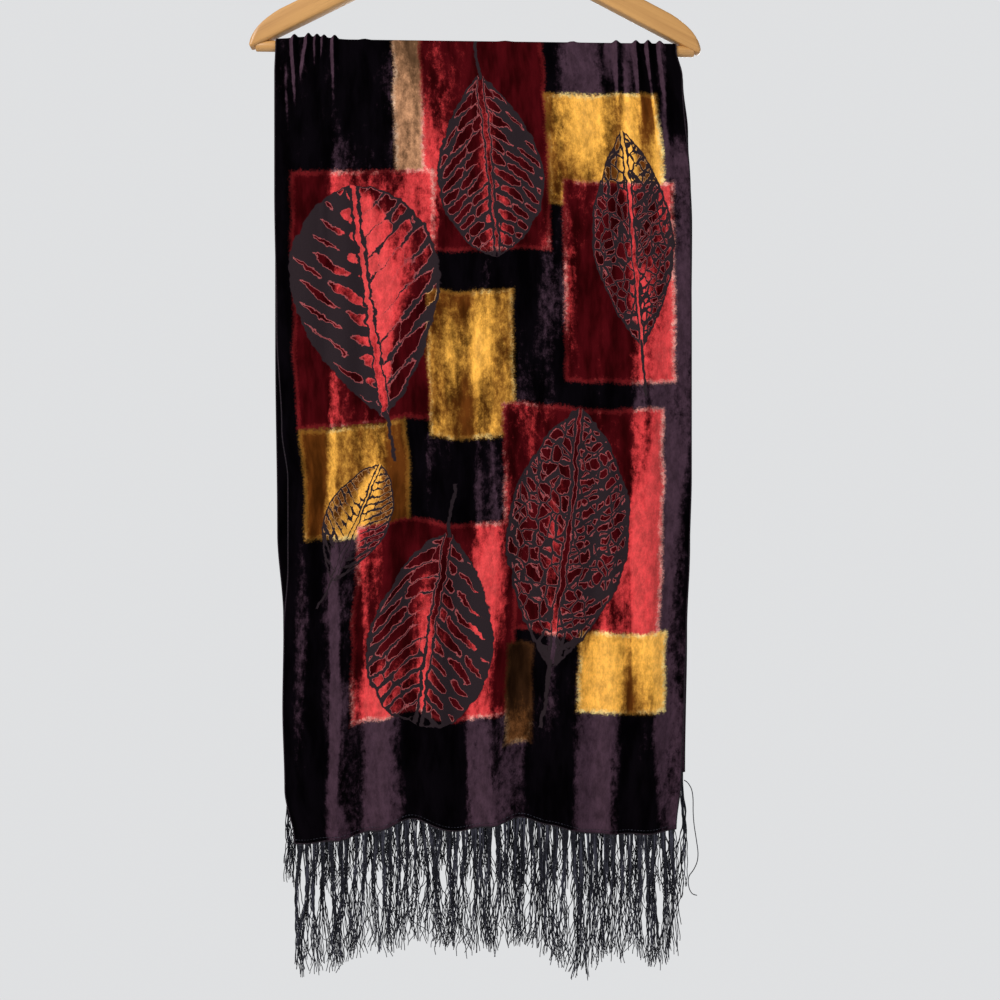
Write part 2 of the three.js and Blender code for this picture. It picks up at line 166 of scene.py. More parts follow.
FRONT_CREASES = table(
    "start end x drift width rise",
    (0.010, 0.120, -0.185, 0.004, 0.009, 0.0012),
    (0.020, 0.210, -0.146, -0.004, 0.012, 0.0013),
    (0.000, 0.160, -0.118, 0.005, 0.011, 0.0010),
    (0.060, 0.420, -0.099, -0.006, 0.016, 0.0014),
    (0.150, 0.520, -0.055, 0.005, 0.018, -0.0013),
    (0.020, 0.260, -0.008, -0.003, 0.014, 0.0011),
    (0.220, 0.600, 0.004, 0.004, 0.017, 0.0015),
    (0.080, 0.380, 0.052, -0.005, 0.016, -0.0012),
    (0.300, 0.760, 0.060, 0.004, 0.018, 0.0014),
    (0.030, 0.330, 0.110, 0.003, 0.013, 0.0013),
    (0.000, 0.240, 0.150, 0.010, 0.012, 0.0014),
    (0.020, 0.300, 0.187, 0.012, 0.014, 0.0013),
    (0.350, 0.740, 0.150, -0.004, 0.016, 0.0013),
    (0.420, 0.787, -0.108, 0.005, 0.016, 0.0015),
    (0.480, 0.787, -0.058, -0.004, 0.014, 0.0014),
    (0.500, 0.780, -0.150, 0.003, 0.013, 0.0012),
    (0.560, 0.787, 0.112, 0.003, 0.014, -0.0013),
    (0.640, 0.787, 0.000, -0.003, 0.013, 0.0012),
)
BACK_CREASES = table(
    "start end x drift width rise",
    (0.010, 0.180, -0.170, 0.004, 0.012, 0.0012),
    (0.060, 0.360, -0.130, -0.005, 0.016, 0.0013),
    (0.000, 0.220, -0.076, 0.004, 0.013, 0.0011),
    (0.180, 0.560, -0.012, 0.006, 0.018, 0.0014),
    (0.080, 0.400, 0.044, -0.004, 0.015, 0.0012),
    (0.000, 0.260, 0.108, 0.005, 0.012, 0.0013),
    (0.020, 0.300, 0.164, 0.008, 0.014, 0.0013),
    (0.380, 0.716, -0.120, 0.004, 0.016, 0.0013),
    (0.420, 0.716, 0.052, -0.004, 0.015, 0.0014),
    (0.460, 0.716, 0.150, 0.004, 0.014, 0.0012),
)

# Bands of painted light and shade on the pile: middle, half width, start and end below the bar, and how
# much

FRONT_BANDS = table(
    "x half_width start end light",
    (0.195, 0.024, 0.060, 0.900, 0.56),
    (-0.170, 0.024, 0.030, 0.900, -0.42),
    (-0.168, 0.016, -0.060, 0.100, -0.36),
    (0.134, 0.006, -0.060, 0.045, 0.45),
    (0.153, 0.008, -0.060, 0.170, 0.50),
    (0.167, 0.005, -0.060, 0.050, 0.45),
    (0.184, 0.006, -0.060, 0.210, 0.45),
    (0.098, 0.022, -0.060, 0.140, 0.42),
    (0.058, 0.014, -0.060, 0.120, -0.35),
    (-0.010, 0.026, 0.240, 0.370, 0.32),
    (-0.052, 0.020, 0.230, 0.400, -0.30),
    (-0.112, 0.038, 0.600, 0.900, 0.52),
    (-0.046, 0.030, 0.640, 0.900, -0.42),
    (0.022, 0.036, 0.640, 0.900, 0.50),
    (0.079, 0.022, 0.660, 0.900, -0.42),
    (0.122, 0.026, 0.560, 0.900, 0.48),
    (0.160, 0.015, 0.600, 0.900, -0.40),
    (-0.086, 0.020, 0.120, 0.300, 0.30),
    (0.010, 0.018, 0.480, 0.640, 0.30),
)
BACK_BANDS = table(
    "x half_width start end light",
    (0.192, 0.022, 0.040, 0.900, 0.40),
    (-0.174, 0.022, 0.030, 0.900, -0.40),
    (-0.100, 0.030, -0.060, 0.200, 0.36),
    (0.040, 0.024, 0.080, 0.340, -0.34),
    (-0.040, 0.028, 0.300, 0.560, 0.34),
    (0.110, 0.026, 0.440, 0.900, 0.36),
    (0.040, 0.026, 0.560, 0.900, -0.40),
    (-0.070, 0.030, 0.580, 0.900, 0.36),
)

# Soft colour blocks: middle across, middle down the cloth (the back drop is negative), half sizes, dye

CRIMSON, AMBER, TAN, BROWN = range(4)

# Each dye's property, shaded pile for painted shade, pale fringe at a block's edge, and how readily it
# shows its painted lit side

DYES = (
    ("crimson", (0.0400, 0.0018, 0.0030), (0.70, 0.34, 0.29), 0.15),
    ("amber", (0.0850, 0.0240, 0.0040), (0.78, 0.64, 0.27), 1.00),
    ("tan", (0.0900, 0.0450, 0.0220), (0.70, 0.50, 0.35), 0.70),
    ("brown", (0.0180, 0.0070, 0.0030), (0.30, 0.18, 0.09), 0.30),
)
FRONT_BLOCKS = table(
    "x down half_x half_down dye",
    (-0.068, 0.082, 0.017, 0.104, TAN),
    (0.004, 0.098, 0.062, 0.116, CRIMSON),
    (0.122, 0.112, 0.056, 0.056, AMBER),
    (0.134, 0.244, 0.054, 0.100, CRIMSON),
    (-0.118, 0.262, 0.070, 0.126, CRIMSON),
    (-0.014, 0.330, 0.042, 0.074, AMBER),
    (-0.134, 0.444, 0.052, 0.054, AMBER),
    (0.096, 0.488, 0.080, 0.116, CRIMSON),
    (-0.052, 0.588, 0.082, 0.098, CRIMSON),
    (0.140, 0.636, 0.044, 0.040, AMBER),
    (0.036, 0.668, 0.013, 0.050, BROWN),
)
BACK_BLOCKS = table(
    "x down half_x half_down dye",
    (0.004, -0.030, 0.062, 0.070, CRIMSON),
    (-0.110, -0.130, 0.060, 0.085, AMBER),
    (0.100, -0.190, 0.074, 0.110, CRIMSON),
    (-0.060, -0.330, 0.080, 0.125, CRIMSON),
    (0.060, -0.400, 0.046, 0.080, AMBER),
    (0.128, -0.520, 0.058, 0.095, CRIMSON),
    (-0.120, -0.540, 0.055, 0.070, AMBER),
    (-0.020, -0.600, 0.066, 0.070, CRIMSON),
)

# Skeleton leaves: the tip's place, half width, length, turn in degrees, and form from broad 0 to slim 1

FRONT_LEAVES = table(
    "x down half_width length turn form",
    (0.014, 0.222, 0.052, 0.185, 176, 0.35),
    (-0.128, 0.150, 0.074, 0.235, -7, 0.00),
    (0.094, 0.372, 0.062, 0.265, 6, 0.80),
    (0.140, 0.092, 0.040, 0.215, -4, 1.00),
    (-0.066, 0.700, 0.064, 0.205, 187, 0.20),
    (-0.110, 0.430, 0.034, 0.120, 24, 0.60),
)
BACK_LEAVES = table(
    "x down half_width length turn form",
    (0.090, -0.300, 0.064, 0.240, 6, 0.10),
    (-0.070, -0.460, 0.062, 0.260, -8, 0.70),
    (-0.028, -0.160, 0.042, 0.190, 4, 1.00),
    (0.110, -0.620, 0.046, 0.180, -6, 0.30),
)

# The long loose thread at the right of the back hem, from the bar's middle

LOOSE_THREAD = table(
    "x down",
    (0.2070, 0.722),
    (0.2120, 0.725),
    (0.2170, 0.735),
    (0.2165, 0.760),
    (0.2205, 0.784),
    (0.2225, 0.800),
    (0.2180, 0.812),
    (0.2110, 0.820),
    (0.2140, 0.836),
    (0.2220, 0.838),
)

# Length of the fringe along the hem

FRINGE_LENGTHS = table(
    "x length",
    (-0.200, 0.134),
    (-0.140, 0.132),
    (-0.110, 0.124),
    (-0.060, 0.124),
    (0.000, 0.126),
    (0.050, 0.136),
    (0.105, 0.146),
    (0.130, 0.132),
    (0.215, 0.132),
)

SIDES = {
    "front": {
        "toward": -1, "edges": FRONT_EDGES, "hem": FRONT_HEM, "flutes": FRONT_FLUTES,
        "creases": FRONT_CREASES, "bands": FRONT_BANDS,
    },
    "back": {
        "toward": 1, "edges": BACK_EDGES, "hem": BACK_HEM, "flutes": BACK_FLUTES,
        "creases": BACK_CREASES, "bands": BACK_BANDS,
    },
}


def length_of(name, text, default):
    return bpy.props.FloatProperty(
        name=name, description=text, default=default, unit="LENGTH", precision=4
    )


def angle_of(name, text, degrees):
    return bpy.props.FloatProperty(
        name=name, description=text, default=math.radians(degrees), subtype="ANGLE"
    )


def colour_of(name, text, default):
    return bpy.props.FloatVectorProperty(
        name=name, description=text, default=default, subtype="COLOR", size=3, min=0, max=1
    )


class HangerSizes(bpy.types.PropertyGroup):
    """Sizes and finish of the wooden hanger."""

    bar_drop: length_of("Bar drop", "Hook seat down to the middle of the bar", 0.200)
    bar_radius: length_of("Bar radius", "Radius of the trouser bar", 0.0055)
    half_span: length_of("Half span", "Middle of the hanger to an arm's tip", 0.22275)
    arm_width: length_of("Arm width", "Width of an arm across its slope", 0.022)
    arm_depth: length_of("Arm depth", "Thickness of an arm from front to back", 0.015)
    tip_drop: length_of("Tip drop", "An arm's tip below the middle of the bar", 0.0045)
    arm_slope: angle_of("Arm slope", "Slope of the arms", 27)
    tilt: angle_of("Tilt", "How far the right side hangs low", 0.75)
    wire_radius: length_of("Wire radius", "Radius of the hook's wire", 0.002)
    hook_radius: length_of("Hook radius", "Inside radius of the hook", 0.020)
    wood: colour_of("Wood", "Colour of the varnished wood", (0.50, 0.265, 0.085))


class ScarfSizes(bpy.types.PropertyGroup):
    """Sizes and colours of the velvet and its fringe."""

    front_length: length_of("Front drop", "Bar to the longest point of the front hem", 0.787)
    back_length: length_of("Back drop", "Bar to the longest point of the back hem", 0.716)
    cut_width: length_of("Cut width", "Width of the cloth laid flat", 0.460)
    cut_length: length_of("Cut length", "Length of the cloth laid flat, hem to hem", 1.520)
    pile: length_of("Cloth thickness", "Thickness of the velvet with its pile", 0.0015)
    hem_radius: length_of("Hem radius", "Radius of the rolled hem", 0.0009)
    thread_radius: length_of("Thread radius", "Radius of one fringe thread", 0.00050)
    tufts: bpy.props.IntProperty(name="Tufts", description="Thread tufts along a hem", default=46, min=8)
    threads: bpy.props.IntProperty(name="Threads", description="Threads in a tuft", default=13, min=1)
    stitch_pitch: length_of("Stitch pitch", "One hem stitch to the next", 0.0032)
    stitch_inset: length_of("Stitch inset", "Hem stitches above the hem's edge", 0.0036)
    stitch_radius: length_of("Stitch radius", "Radius of the sewing thread", 0.00024)
    # lit and shaded copies of the pile colours, which the velvet blends into painted light and shade
    ground: colour_of("Ground", "Lit pile of the dark ground", (0.046, 0.024, 0.037))
    ground_shade: colour_of("Ground shade", "Shaded pile of the dark ground", (0.0016, 0.0011, 0.0018))
    crimson: colour_of("Crimson", "Lit pile of the crimson blocks", (0.56, 0.041, 0.045))
    amber: colour_of("Amber", "Lit pile of the amber blocks", (0.78, 0.38, 0.060))
    tan: colour_of("Tan", "Lit pile of the tan strip", (0.50, 0.25, 0.13))
    brown: colour_of("Brown", "Lit pile of the brown strip", (0.12, 0.045, 0.014))
    burnt: colour_of("Burnt ground", "Sheer ground where the pile is burnt out", (0.022, 0.015, 0.018))
    thread: colour_of("Thread", "Fringe thread", (0.0042, 0.0044, 0.0080))


def smooth(share):
    """Smooth step: 3t² - 2t³ with t held between 0 and 1."""
    t = np.clip(share, 0, 1)
    return t * t * (3 - 2 * t)


def read(rows, key, column, place):
    """Value of a column at a place, by a smooth step between the two rows around it."""
    keys, values = rows[key], rows[column]
    nxt = np.clip(np.searchsorted(keys, place, side="right"), 1, len(keys) - 1)
    share = smooth((place - keys[nxt - 1]) / (keys[nxt] - keys[nxt - 1]))
    return values[nxt - 1] + (values[nxt] - values[nxt - 1]) * share


def crest(distance, width):
    """Raised cosine: 1 at the crest and 0 beyond half the width."""
    return np.where(np.abs(distance) < width / 2, 0.5 + 0.5 * np.cos(2 * np.pi * distance / width), 0)


def rows_of(rows):
    """The table's rows, each as a dictionary of numbers."""
    return [dict(zip(rows, values)) for values in zip(*rows.values())]


class Drape:
    """The hung cloth as formulas: where each point of the cut lies."""

    flute_start_share = 0.25
    flute_start = 0.09
    flute_full_at = 0.87
    wander_wave = 0.41
    wander_turn = 40
    swell_power = 0.8
    air = 0.0003

    def __init__(self, scarf, hanger):
        self.tilt = hanger.tilt
        self.middle_x = -hanger.bar_drop * math.sin(hanger.tilt)
        self.middle_z = -hanger.bar_drop * math.cos(hanger.tilt)
        self.inside = hanger.bar_radius + self.air
        self.lengths = {"front": scarf.front_length, "back": scarf.back_length}

    def bar_z(self, x):
        return self.middle_z - x * math.tan(self.tilt)

    def across(self, side, share, down):
        """Place across the bar: the share of the way from the left edge to the right one."""
        edges = SIDES[side]["edges"]
        left, right = read(edges, "down", "left", down), read(edges, "down", "right", down)
        return left + (right - left) * share

    def rise(self, side, x, down):
        """Sum of raised cosines: flutes grow to the hem, gathers fade from the bar, creases swell."""
        rows = SIDES[side]
        share = down / self.lengths[side]
        total = np.zeros(np.broadcast(x, down).shape)
        grown = self.flute_start_share * smooth(down / self.flute_start)
        grown = grown + (1 - self.flute_start_share) * smooth(share / self.flute_full_at)
        for flute in rows_of(rows["flutes"]):
            centre = flute["top"] + (flute["hem"] - flute["top"]) * share
            phase = 2 * np.pi * down / self.wander_wave + self.wander_turn * flute["top"]
            centre = centre + flute["wander"] * np.sin(phase)
            total = total + flute["rise"] * grown * crest(x - centre, flute["width"])
        for gather in rows_of(GATHERS):
            run = down / gather[side]
            centre = gather["x"] + gather["drift"] * run
            total = total + gather["rise"] * (1 - smooth(run)) * crest(x - centre, gather["width"])
        for crease in rows_of(rows["creases"]):
            run = (down - crease["start"]) / (crease["end"] - crease["start"])
            swell = np.sin(np.pi * np.clip(run, 0, 1)) ** self.swell_power
            centre = crease["x"] + crease["drift"] * np.clip(run, 0, 1)
            total = total + crease["rise"] * swell * crest(x - centre, crease["width"])
        return np.maximum(total, 0)

    def drop(self, side, share, down, depth):
        """A point of a drop: down the cloth's own length, stood out from the bar's plane by the rise."""
        x = self.across(side, share, down)
        lift = read(SIDES[side]["hem"], "x", "lift", x)
        below = down * (1 - lift / self.lengths[side])
        y = SIDES[side]["toward"] * (self.inside + self.rise(side, x, down) + depth)
        return np.stack(np.broadcast_arrays(self.middle_x + x, y, self.bar_z(x) - below), axis=-1)

    def turn(self, share, angle, depth):
        """A point of the half turn over the bar: radius from the bar's middle, angle 0 at the front."""
        x = self.across("front", share, np.zeros(1))
        radius = self.inside + self.rise("front", x, np.zeros(1)) + depth
        z = self.bar_z(x) + radius * np.sin(angle)
        return np.stack(np.broadcast_arrays(self.middle_x + x, -radius * np.cos(angle), z), axis=-1)


def hung(context):
    """The scarf's sizes, and its drape over the hanger."""
    scarf = context.scene.scarf_sizes
    return scarf, Drape(scarf, context.scene.hanger_sizes)


def add_piece(name, points, faces, slot, material):
    """A mesh object at the origin from points and polygons, riding on the only body."""
    mesh = bpy.data.meshes.new(name)
    points = np.asarray(points, float).reshape(-1, 3).tolist()
    mesh.from_pydata(points, [], [list(face) for face in faces])
    mesh.validate()
    mesh.polygons.foreach_set("use_smooth", np.ones(len(mesh.polygons), bool))
    piece = bpy.data.objects.new(name, mesh)
    bpy.context.scene.collection.objects.link(piece)
    for one in material if isinstance(material, (list, tuple)) else [material]:
        mesh.materials.append(one)
    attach(piece, BODY)
    return piece


def grid_quads(rows, columns, start=0, flip=False):
    """Quads of a grid of points whose columns run fastest."""
    at = start + np.arange(rows * columns).reshape(rows, columns)
    quads = np.stack([at[:-1, :-1], at[:-1, 1:], at[1:, 1:], at[1:, :-1]], axis=-1).reshape(-1, 4)
    return quads[:, ::-1] if flip else quads


def shell_faces(rows, columns):
    """Faces of a wall: a fine outer grid, an inner grid with every second row and column, and a rim.

    Each rim face joins two edges of the outer border to the inner edge beside them. Both counts are odd.
    """
    start, inner_rows, inner_columns = rows * columns, (rows + 1) // 2, (columns + 1) // 2
    outer, inner = border(rows, columns), start + border(inner_rows, inner_columns)
    rim = np.stack([outer[::2], inner, np.roll(inner, -1), np.roll(outer, -2)[::2], outer[1::2]], axis=-1)
    lining = grid_quads(inner_rows, inner_columns, start, flip=True)
    return grid_quads(rows, columns).tolist() + lining.tolist() + rim.tolist()


def border(rows, columns):
    """Indices round a grid's border, in order from its first point."""
    at = np.arange(rows * columns).reshape(rows, columns)
    return np.concatenate([at[0, :-1], at[:-1, -1], at[-1, :0:-1], at[:0:-1, 0]])


def tube_faces(count, steps, sides, closed=False):
    """Quads between the rings of many tubes, and a polygon over each open end."""
    index = np.arange(count * steps * sides).reshape(count, steps, sides)
    before, after = (index, np.roll(index, -1, axis=1)) if closed else (index[:, :-1], index[:, 1:])
    quads = np.stack([before, np.roll(before, -1, axis=2), np.roll(after, -1, axis=2), after], axis=-1)
    ends = [] if closed else [*index[:, 0, ::-1], *index[:, -1]]
    return [tuple(face) for face in [*quads.reshape(-1, 4), *ends]]


def tubes(paths, radius, sides, closed=False, steady=(0.0, 1.0, 0.0)):
    """Tubes along many paths at once: at each point a ring of the section's corners, square to the path.

    paths is an array of path, point and coordinate. The ring's axes come from the path's direction
    crossed with the steady axis, which the path never runs along.
    """
    paths = np.asarray(paths, float)
    count, steps = paths.shape[:2]
    if closed:
        along = np.roll(paths, -1, axis=1) - np.roll(paths, 1, axis=1)
    else:
        along = np.gradient(paths, axis=1)
    along /= np.linalg.norm(along, axis=-1, keepdims=True)
    first = np.cross(along, np.broadcast_to(steady, along.shape))
    first /= np.linalg.norm(first, axis=-1, keepdims=True)
    second = np.cross(along, first)
    angle = 2 * np.pi * np.arange(sides) / sides
    radius = np.broadcast_to(radius, (count, steps))[..., None, None]
    ring = first[:, :, None] * np.cos(angle)[:, None] + second[:, :, None] * np.sin(angle)[:, None]
    points = paths[:, :, None] + ring * radius
    return points.reshape(-1, 3), tube_faces(count, steps, sides, closed)


class Recipe:
    """A node tree with short ways to add and join its nodes."""

    def __init__(self, tree):
        self.tree = tree
        tree.nodes.clear()

    def feed(self, socket, value):
        if isinstance(value, bpy.types.NodeSocket):
            self.tree.links.new(value, socket)
        else:
            socket.default_value = value

    def add(self, kind, inputs=None, **settings):
        node = self.tree.nodes.new("ShaderNode" + kind)
        for name, value in settings.items():
            setattr(node, name, value)
        for name, value in (inputs or {}).items():
            self.feed(node.inputs[name], value)
        return node

    def math(self, operation, *values):
        node = self.add("Math", operation=operation)
        for socket, value in zip(node.inputs, values):
            self.feed(socket, value)
        return node.outputs[0]

    # short names for the commonest steps: line is the value times a slope plus a start
    plus = partialmethod(math, "ADD")
    minus = partialmethod(math, "SUBTRACT")
    times = partialmethod(math, "MULTIPLY")
    line = partialmethod(math, "MULTIPLY_ADD")
    larger = partialmethod(math, "MAXIMUM")
    smaller = partialmethod(math, "MINIMUM")
    size = partialmethod(math, "ABSOLUTE")

    def vector(self, operation, *values):
        node = self.add("VectorMath", operation=operation)
        for socket, value in zip(node.inputs, values):
            self.feed(socket, value)
        return node.outputs["Vector"]

    def scaled(self, colour, by):
        return self.add("VectorMath", {"Vector": colour, "Scale": by}, operation="SCALE").outputs[0]

    def step(self, value, low, high, out_low=0.0, out_high=1.0):
        """Smooth step from out_low at low to out_high at high."""
        ends = {"From Min": low, "From Max": high, "To Min": out_low, "To Max": out_high}
        return self.add("MapRange", {"Value": value, **ends}, interpolation_type="SMOOTHSTEP").outputs[0]

    def blend(self, share, first, second, kind="RGBA"):
        sockets = {"RGBA": (6, 7, 2), "VECTOR": (4, 5, 1), "FLOAT": (2, 3, 0)}[kind]
        node = self.add("Mix", data_type=kind)
        self.feed(node.inputs[0], share)
        self.feed(node.inputs[sockets[0]], first)
        self.feed(node.inputs[sockets[1]], second)
        return node.outputs[sockets[2]]

    def split(self, vector):
        return self.add("SeparateXYZ", {"Vector": vector}).outputs

    def noise(self, vector, scale, detail=2.0, roughness=0.5):
        inputs = {"Vector": vector, "Scale": scale, "Detail": detail, "Roughness": roughness}
        return self.add("TexNoise", inputs).outputs

    def grain(self, vector, scales, detail=2.0, roughness=0.5):
        """Noise with its own scale along each axis."""
        return self.noise(self.vector("MULTIPLY", vector, scales), 1.0, detail, roughness)["Fac"]

    def stray(self, colour, reach):
        """A noise colour as an offset with no mean: up to half the reach along each axis."""
        return self.vector("MULTIPLY", self.vector("SUBTRACT", colour, (0.5, 0.5, 0.5)), reach)

    def own_place(self):
        """The point's place in its piece."""
        return self.add("TexCoord").outputs["Object"]

    def finish(self, surface):
        """Close the tree with one shader."""
        shader = self.add("BsdfPrincipled", surface)
        self.add("OutputMaterial", {"Surface": shader.outputs[0]})


def new_material(name):
    material = bpy.data.materials.new(name)
    material.use_nodes = True
    return material, Recipe(material.node_tree)


def rgba(colour):
    return (*[float(c) for c in colour], 1.0)


def dyed_blocks(r, place, blocks, scarf):
    """Lit and shaded pile colour of the ground with its soft blocks for painted light and shade, the
    blocks' mask and readiness.

    A block's distance is the larger of the distances past its two half sizes. It fades over a few
    millimetres, and a pale band follows its edge.
    """
    # lit and shaded copies for painted light and shade, the blocks' mask, and their lean to the painted
    # lit side
    lit, shaded, dyed, painted_lit_bias = rgba(scarf.ground), rgba(scarf.ground_shade), 0.0, 0.0
    speckle = r.step(r.noise(place, 210.0, 3.0, 0.7)["Fac"], 0.40, 0.62, 0.10, 0.80)
    for block in rows_of(blocks):
        name, own_shaded, pale, readiness = DYES[int(block["dye"])]
        own_lit = rgba(getattr(scarf, name))
        away = r.vector("ABSOLUTE", r.vector("SUBTRACT", place, (block["x"], block["down"], 0.0)))
        past = r.split(r.vector("SUBTRACT", away, (block["half_x"], block["half_down"], 0.0)))
        distance = r.larger(past[0], past[1])
        inside = r.step(distance, -0.0022, 0.0016, 1.0, 0.0)
        edge = r.step(r.size(r.plus(distance, 0.0008)), 0.0002, 0.0038, 1.0, 0.0)
        lit = r.blend(inside, lit, own_lit)
        lit = r.blend(r.times(edge, speckle), lit, rgba(pale))
        shaded = r.blend(inside, shaded, rgba(own_shaded))
        shaded = r.blend(r.times(edge, 0.12), shaded, own_lit)
        dyed = r.larger(dyed, inside)
        painted_lit_bias = r.blend(inside, painted_lit_bias, readiness, "FLOAT")
    return lit, shaded, dyed, painted_lit_bias


def leaf_places(r, place, leaves):
    """Each leaf's own place: -1 to 1 across, 0 at its tip to 1 at its foot, and its form.

    A leaf takes over inside its box, which narrows to its stalk beyond the foot.
    """
    local, middle, reach = None, (0, 0.61, 0), (1.12, 0.66, 9)
    for leaf in rows_of(leaves):
        mapping = r.add("Mapping", {"Vector": place}, vector_type="TEXTURE")
        mapping.inputs["Location"].default_value = (leaf["x"], leaf["down"], -leaf["form"])
        mapping.inputs["Rotation"].default_value = (0, 0, math.radians(leaf["turn"]))
        mapping.inputs["Scale"].default_value = (leaf["half_width"], leaf["length"], 1)
        own = mapping.outputs[0]
        if local is None:
            local = own
            continue
        away = r.vector("ABSOLUTE", r.vector("SUBTRACT", own, middle))
        past = r.split(r.vector("SUBTRACT", away, reach))
        narrower = r.step(r.split(own)[1], 0.80, 1.00, 0.0, 0.93)
        near = r.math("LESS_THAN", r.larger(r.plus(past[0], narrower), past[1]), 0.0)
        local = r.blend(near, local, own, "VECTOR")
    return local


def leaf_masks(r, place, leaves):
    """Burnt areas, pale lines round them for a painted highlight, and nearness to a midrib for painted
    light, for the skeleton leaves.

    The outline is a power of a sine. Side veins are level lines of the distance along plus a share of the
    distance across. Pile stands between them where (1 - |2v - 1|) * sqrt|sin| is above a level that rises
    towards the margin. Cells of a cell noise cut the slimmer leaves into a net.
    """
    local = leaf_places(r, place, leaves)
    form = r.split(local)[2]
    wobble = r.noise(r.vector("MULTIPLY", local, (3.0, 8.0, 1.0)), 1.0, 3.0)["Color"]
    crinkle = r.noise(r.vector("MULTIPLY", local, (10.0, 32.0, 1.0)), 1.0)["Color"]
    bent = r.vector("ADD", local, r.stray(wobble, (0.15, 0.050, 0.0)))
    bent = r.vector("ADD", bent, r.stray(crinkle, (0.085, 0.026, 0.0)))
    across, along = r.split(bent)[:2]
    away = r.size(across)
    right = r.math("GREATER_THAN", across, 0.0)
    held = r.smaller(r.larger(along, 0.0), 1.0)
    eased = r.math("POWER", held, r.line(form, 0.30, 0.72))
    outline = r.math("SINE", r.times(eased, math.pi))
    outline = r.math("POWER", r.larger(outline, 0.0001), 0.80)
    inside = r.minus(outline, away)
    spread = r.math("DIVIDE", away, r.larger(outline, 0.05))
    # bars between the side veins
    count = r.line(form, 7.0, 11.0)
    sweep = r.times(r.math("POWER", away, 1.25), r.line(form, -0.08, 0.27))
    phase = r.times(r.plus(along, sweep), count)
    phase = r.plus(phase, r.line(right, 0.43, 5.0))
    key = r.add("CombineXYZ", {"X": r.math("FLOOR", phase), "Y": right, "Z": form}).outputs[0]
    chance = r.add("TexWhiteNoise", {"Vector": key}, noise_dimensions="3D").outputs["Value"]
    bar = r.line(r.math("FRACT", phase), 2.0, -1.0)
    bar = r.minus(1.0, r.size(bar))
    runs = r.line(spread, r.line(form, 1.4, 1.5), chance)
    cut = r.math("SQRT", r.size(r.math("SINE", r.times(runs, math.pi))))
    patch = r.noise(r.vector("MULTIPLY", local, (1.5, 3.0, 1.0)), 1.3)["Fac"]
    level = r.line(r.times(spread, spread), 0.44, 0.24)
    level = r.plus(level, r.line(patch, 1.30, -0.65))
    level = r.plus(level, r.times(form, -0.36))
    side = r.times(r.minus(right, 0.5), r.line(form, 0.9, -0.45))
    level = r.smaller(r.plus(level, side), 0.90)
    pile = r.minus(r.times(bar, cut), level)
    # net of small cells
    cells = {"Vector": r.vector("MULTIPLY", bent, (4.8, 17.0, 1.0)), "Scale": 1.0}
    cells = r.add("TexVoronoi", cells, feature="DISTANCE_TO_EDGE")
    net = r.line(cells.outputs["Distance"], 4.0, -0.30)
    spared = r.larger(r.line(form, -1.6, 1.3), 0.0)
    margin = r.line(inside, 6.0, -0.30)
    beside_rib = r.line(away, 8.0, -0.60)
    for limit in (r.plus(net, spared), margin, beside_rib):
        pile = r.smaller(pile, limit)
    rib = r.line(away, -13.0, r.line(along, 0.30, 0.36))
    rib = r.minus(rib, r.step(patch, 0.52, 0.62, 0.0, 0.24))
    pile = r.larger(pile, rib)
    ragged = r.noise(place, 520.0, 2.0, 0.6)["Fac"]
    pile = r.plus(pile, r.line(ragged, 0.22, -0.11))
    in_leaf = r.times(r.step(inside, -0.010, 0.010), r.math("COMPARE", along, 0.5, 0.5))
    gone = r.step(pile, -0.035, 0.035, 1.0, 0.0)
    stalk = r.step(away, 0.020, 0.036, 1.0, 0.0)
    stalk = r.times(stalk, r.math("COMPARE", along, 1.105, 0.135))
    burnt = r.larger(r.times(in_leaf, gone), stalk)
    line = r.step(r.size(r.minus(pile, 0.03)), 0.02, 0.09, 1.0, 0.0)
    near_rib = r.times(in_leaf, r.step(spread, 0.10, 0.75, 1.0, -1.0))
    return burnt, r.times(line, in_leaf), near_rib


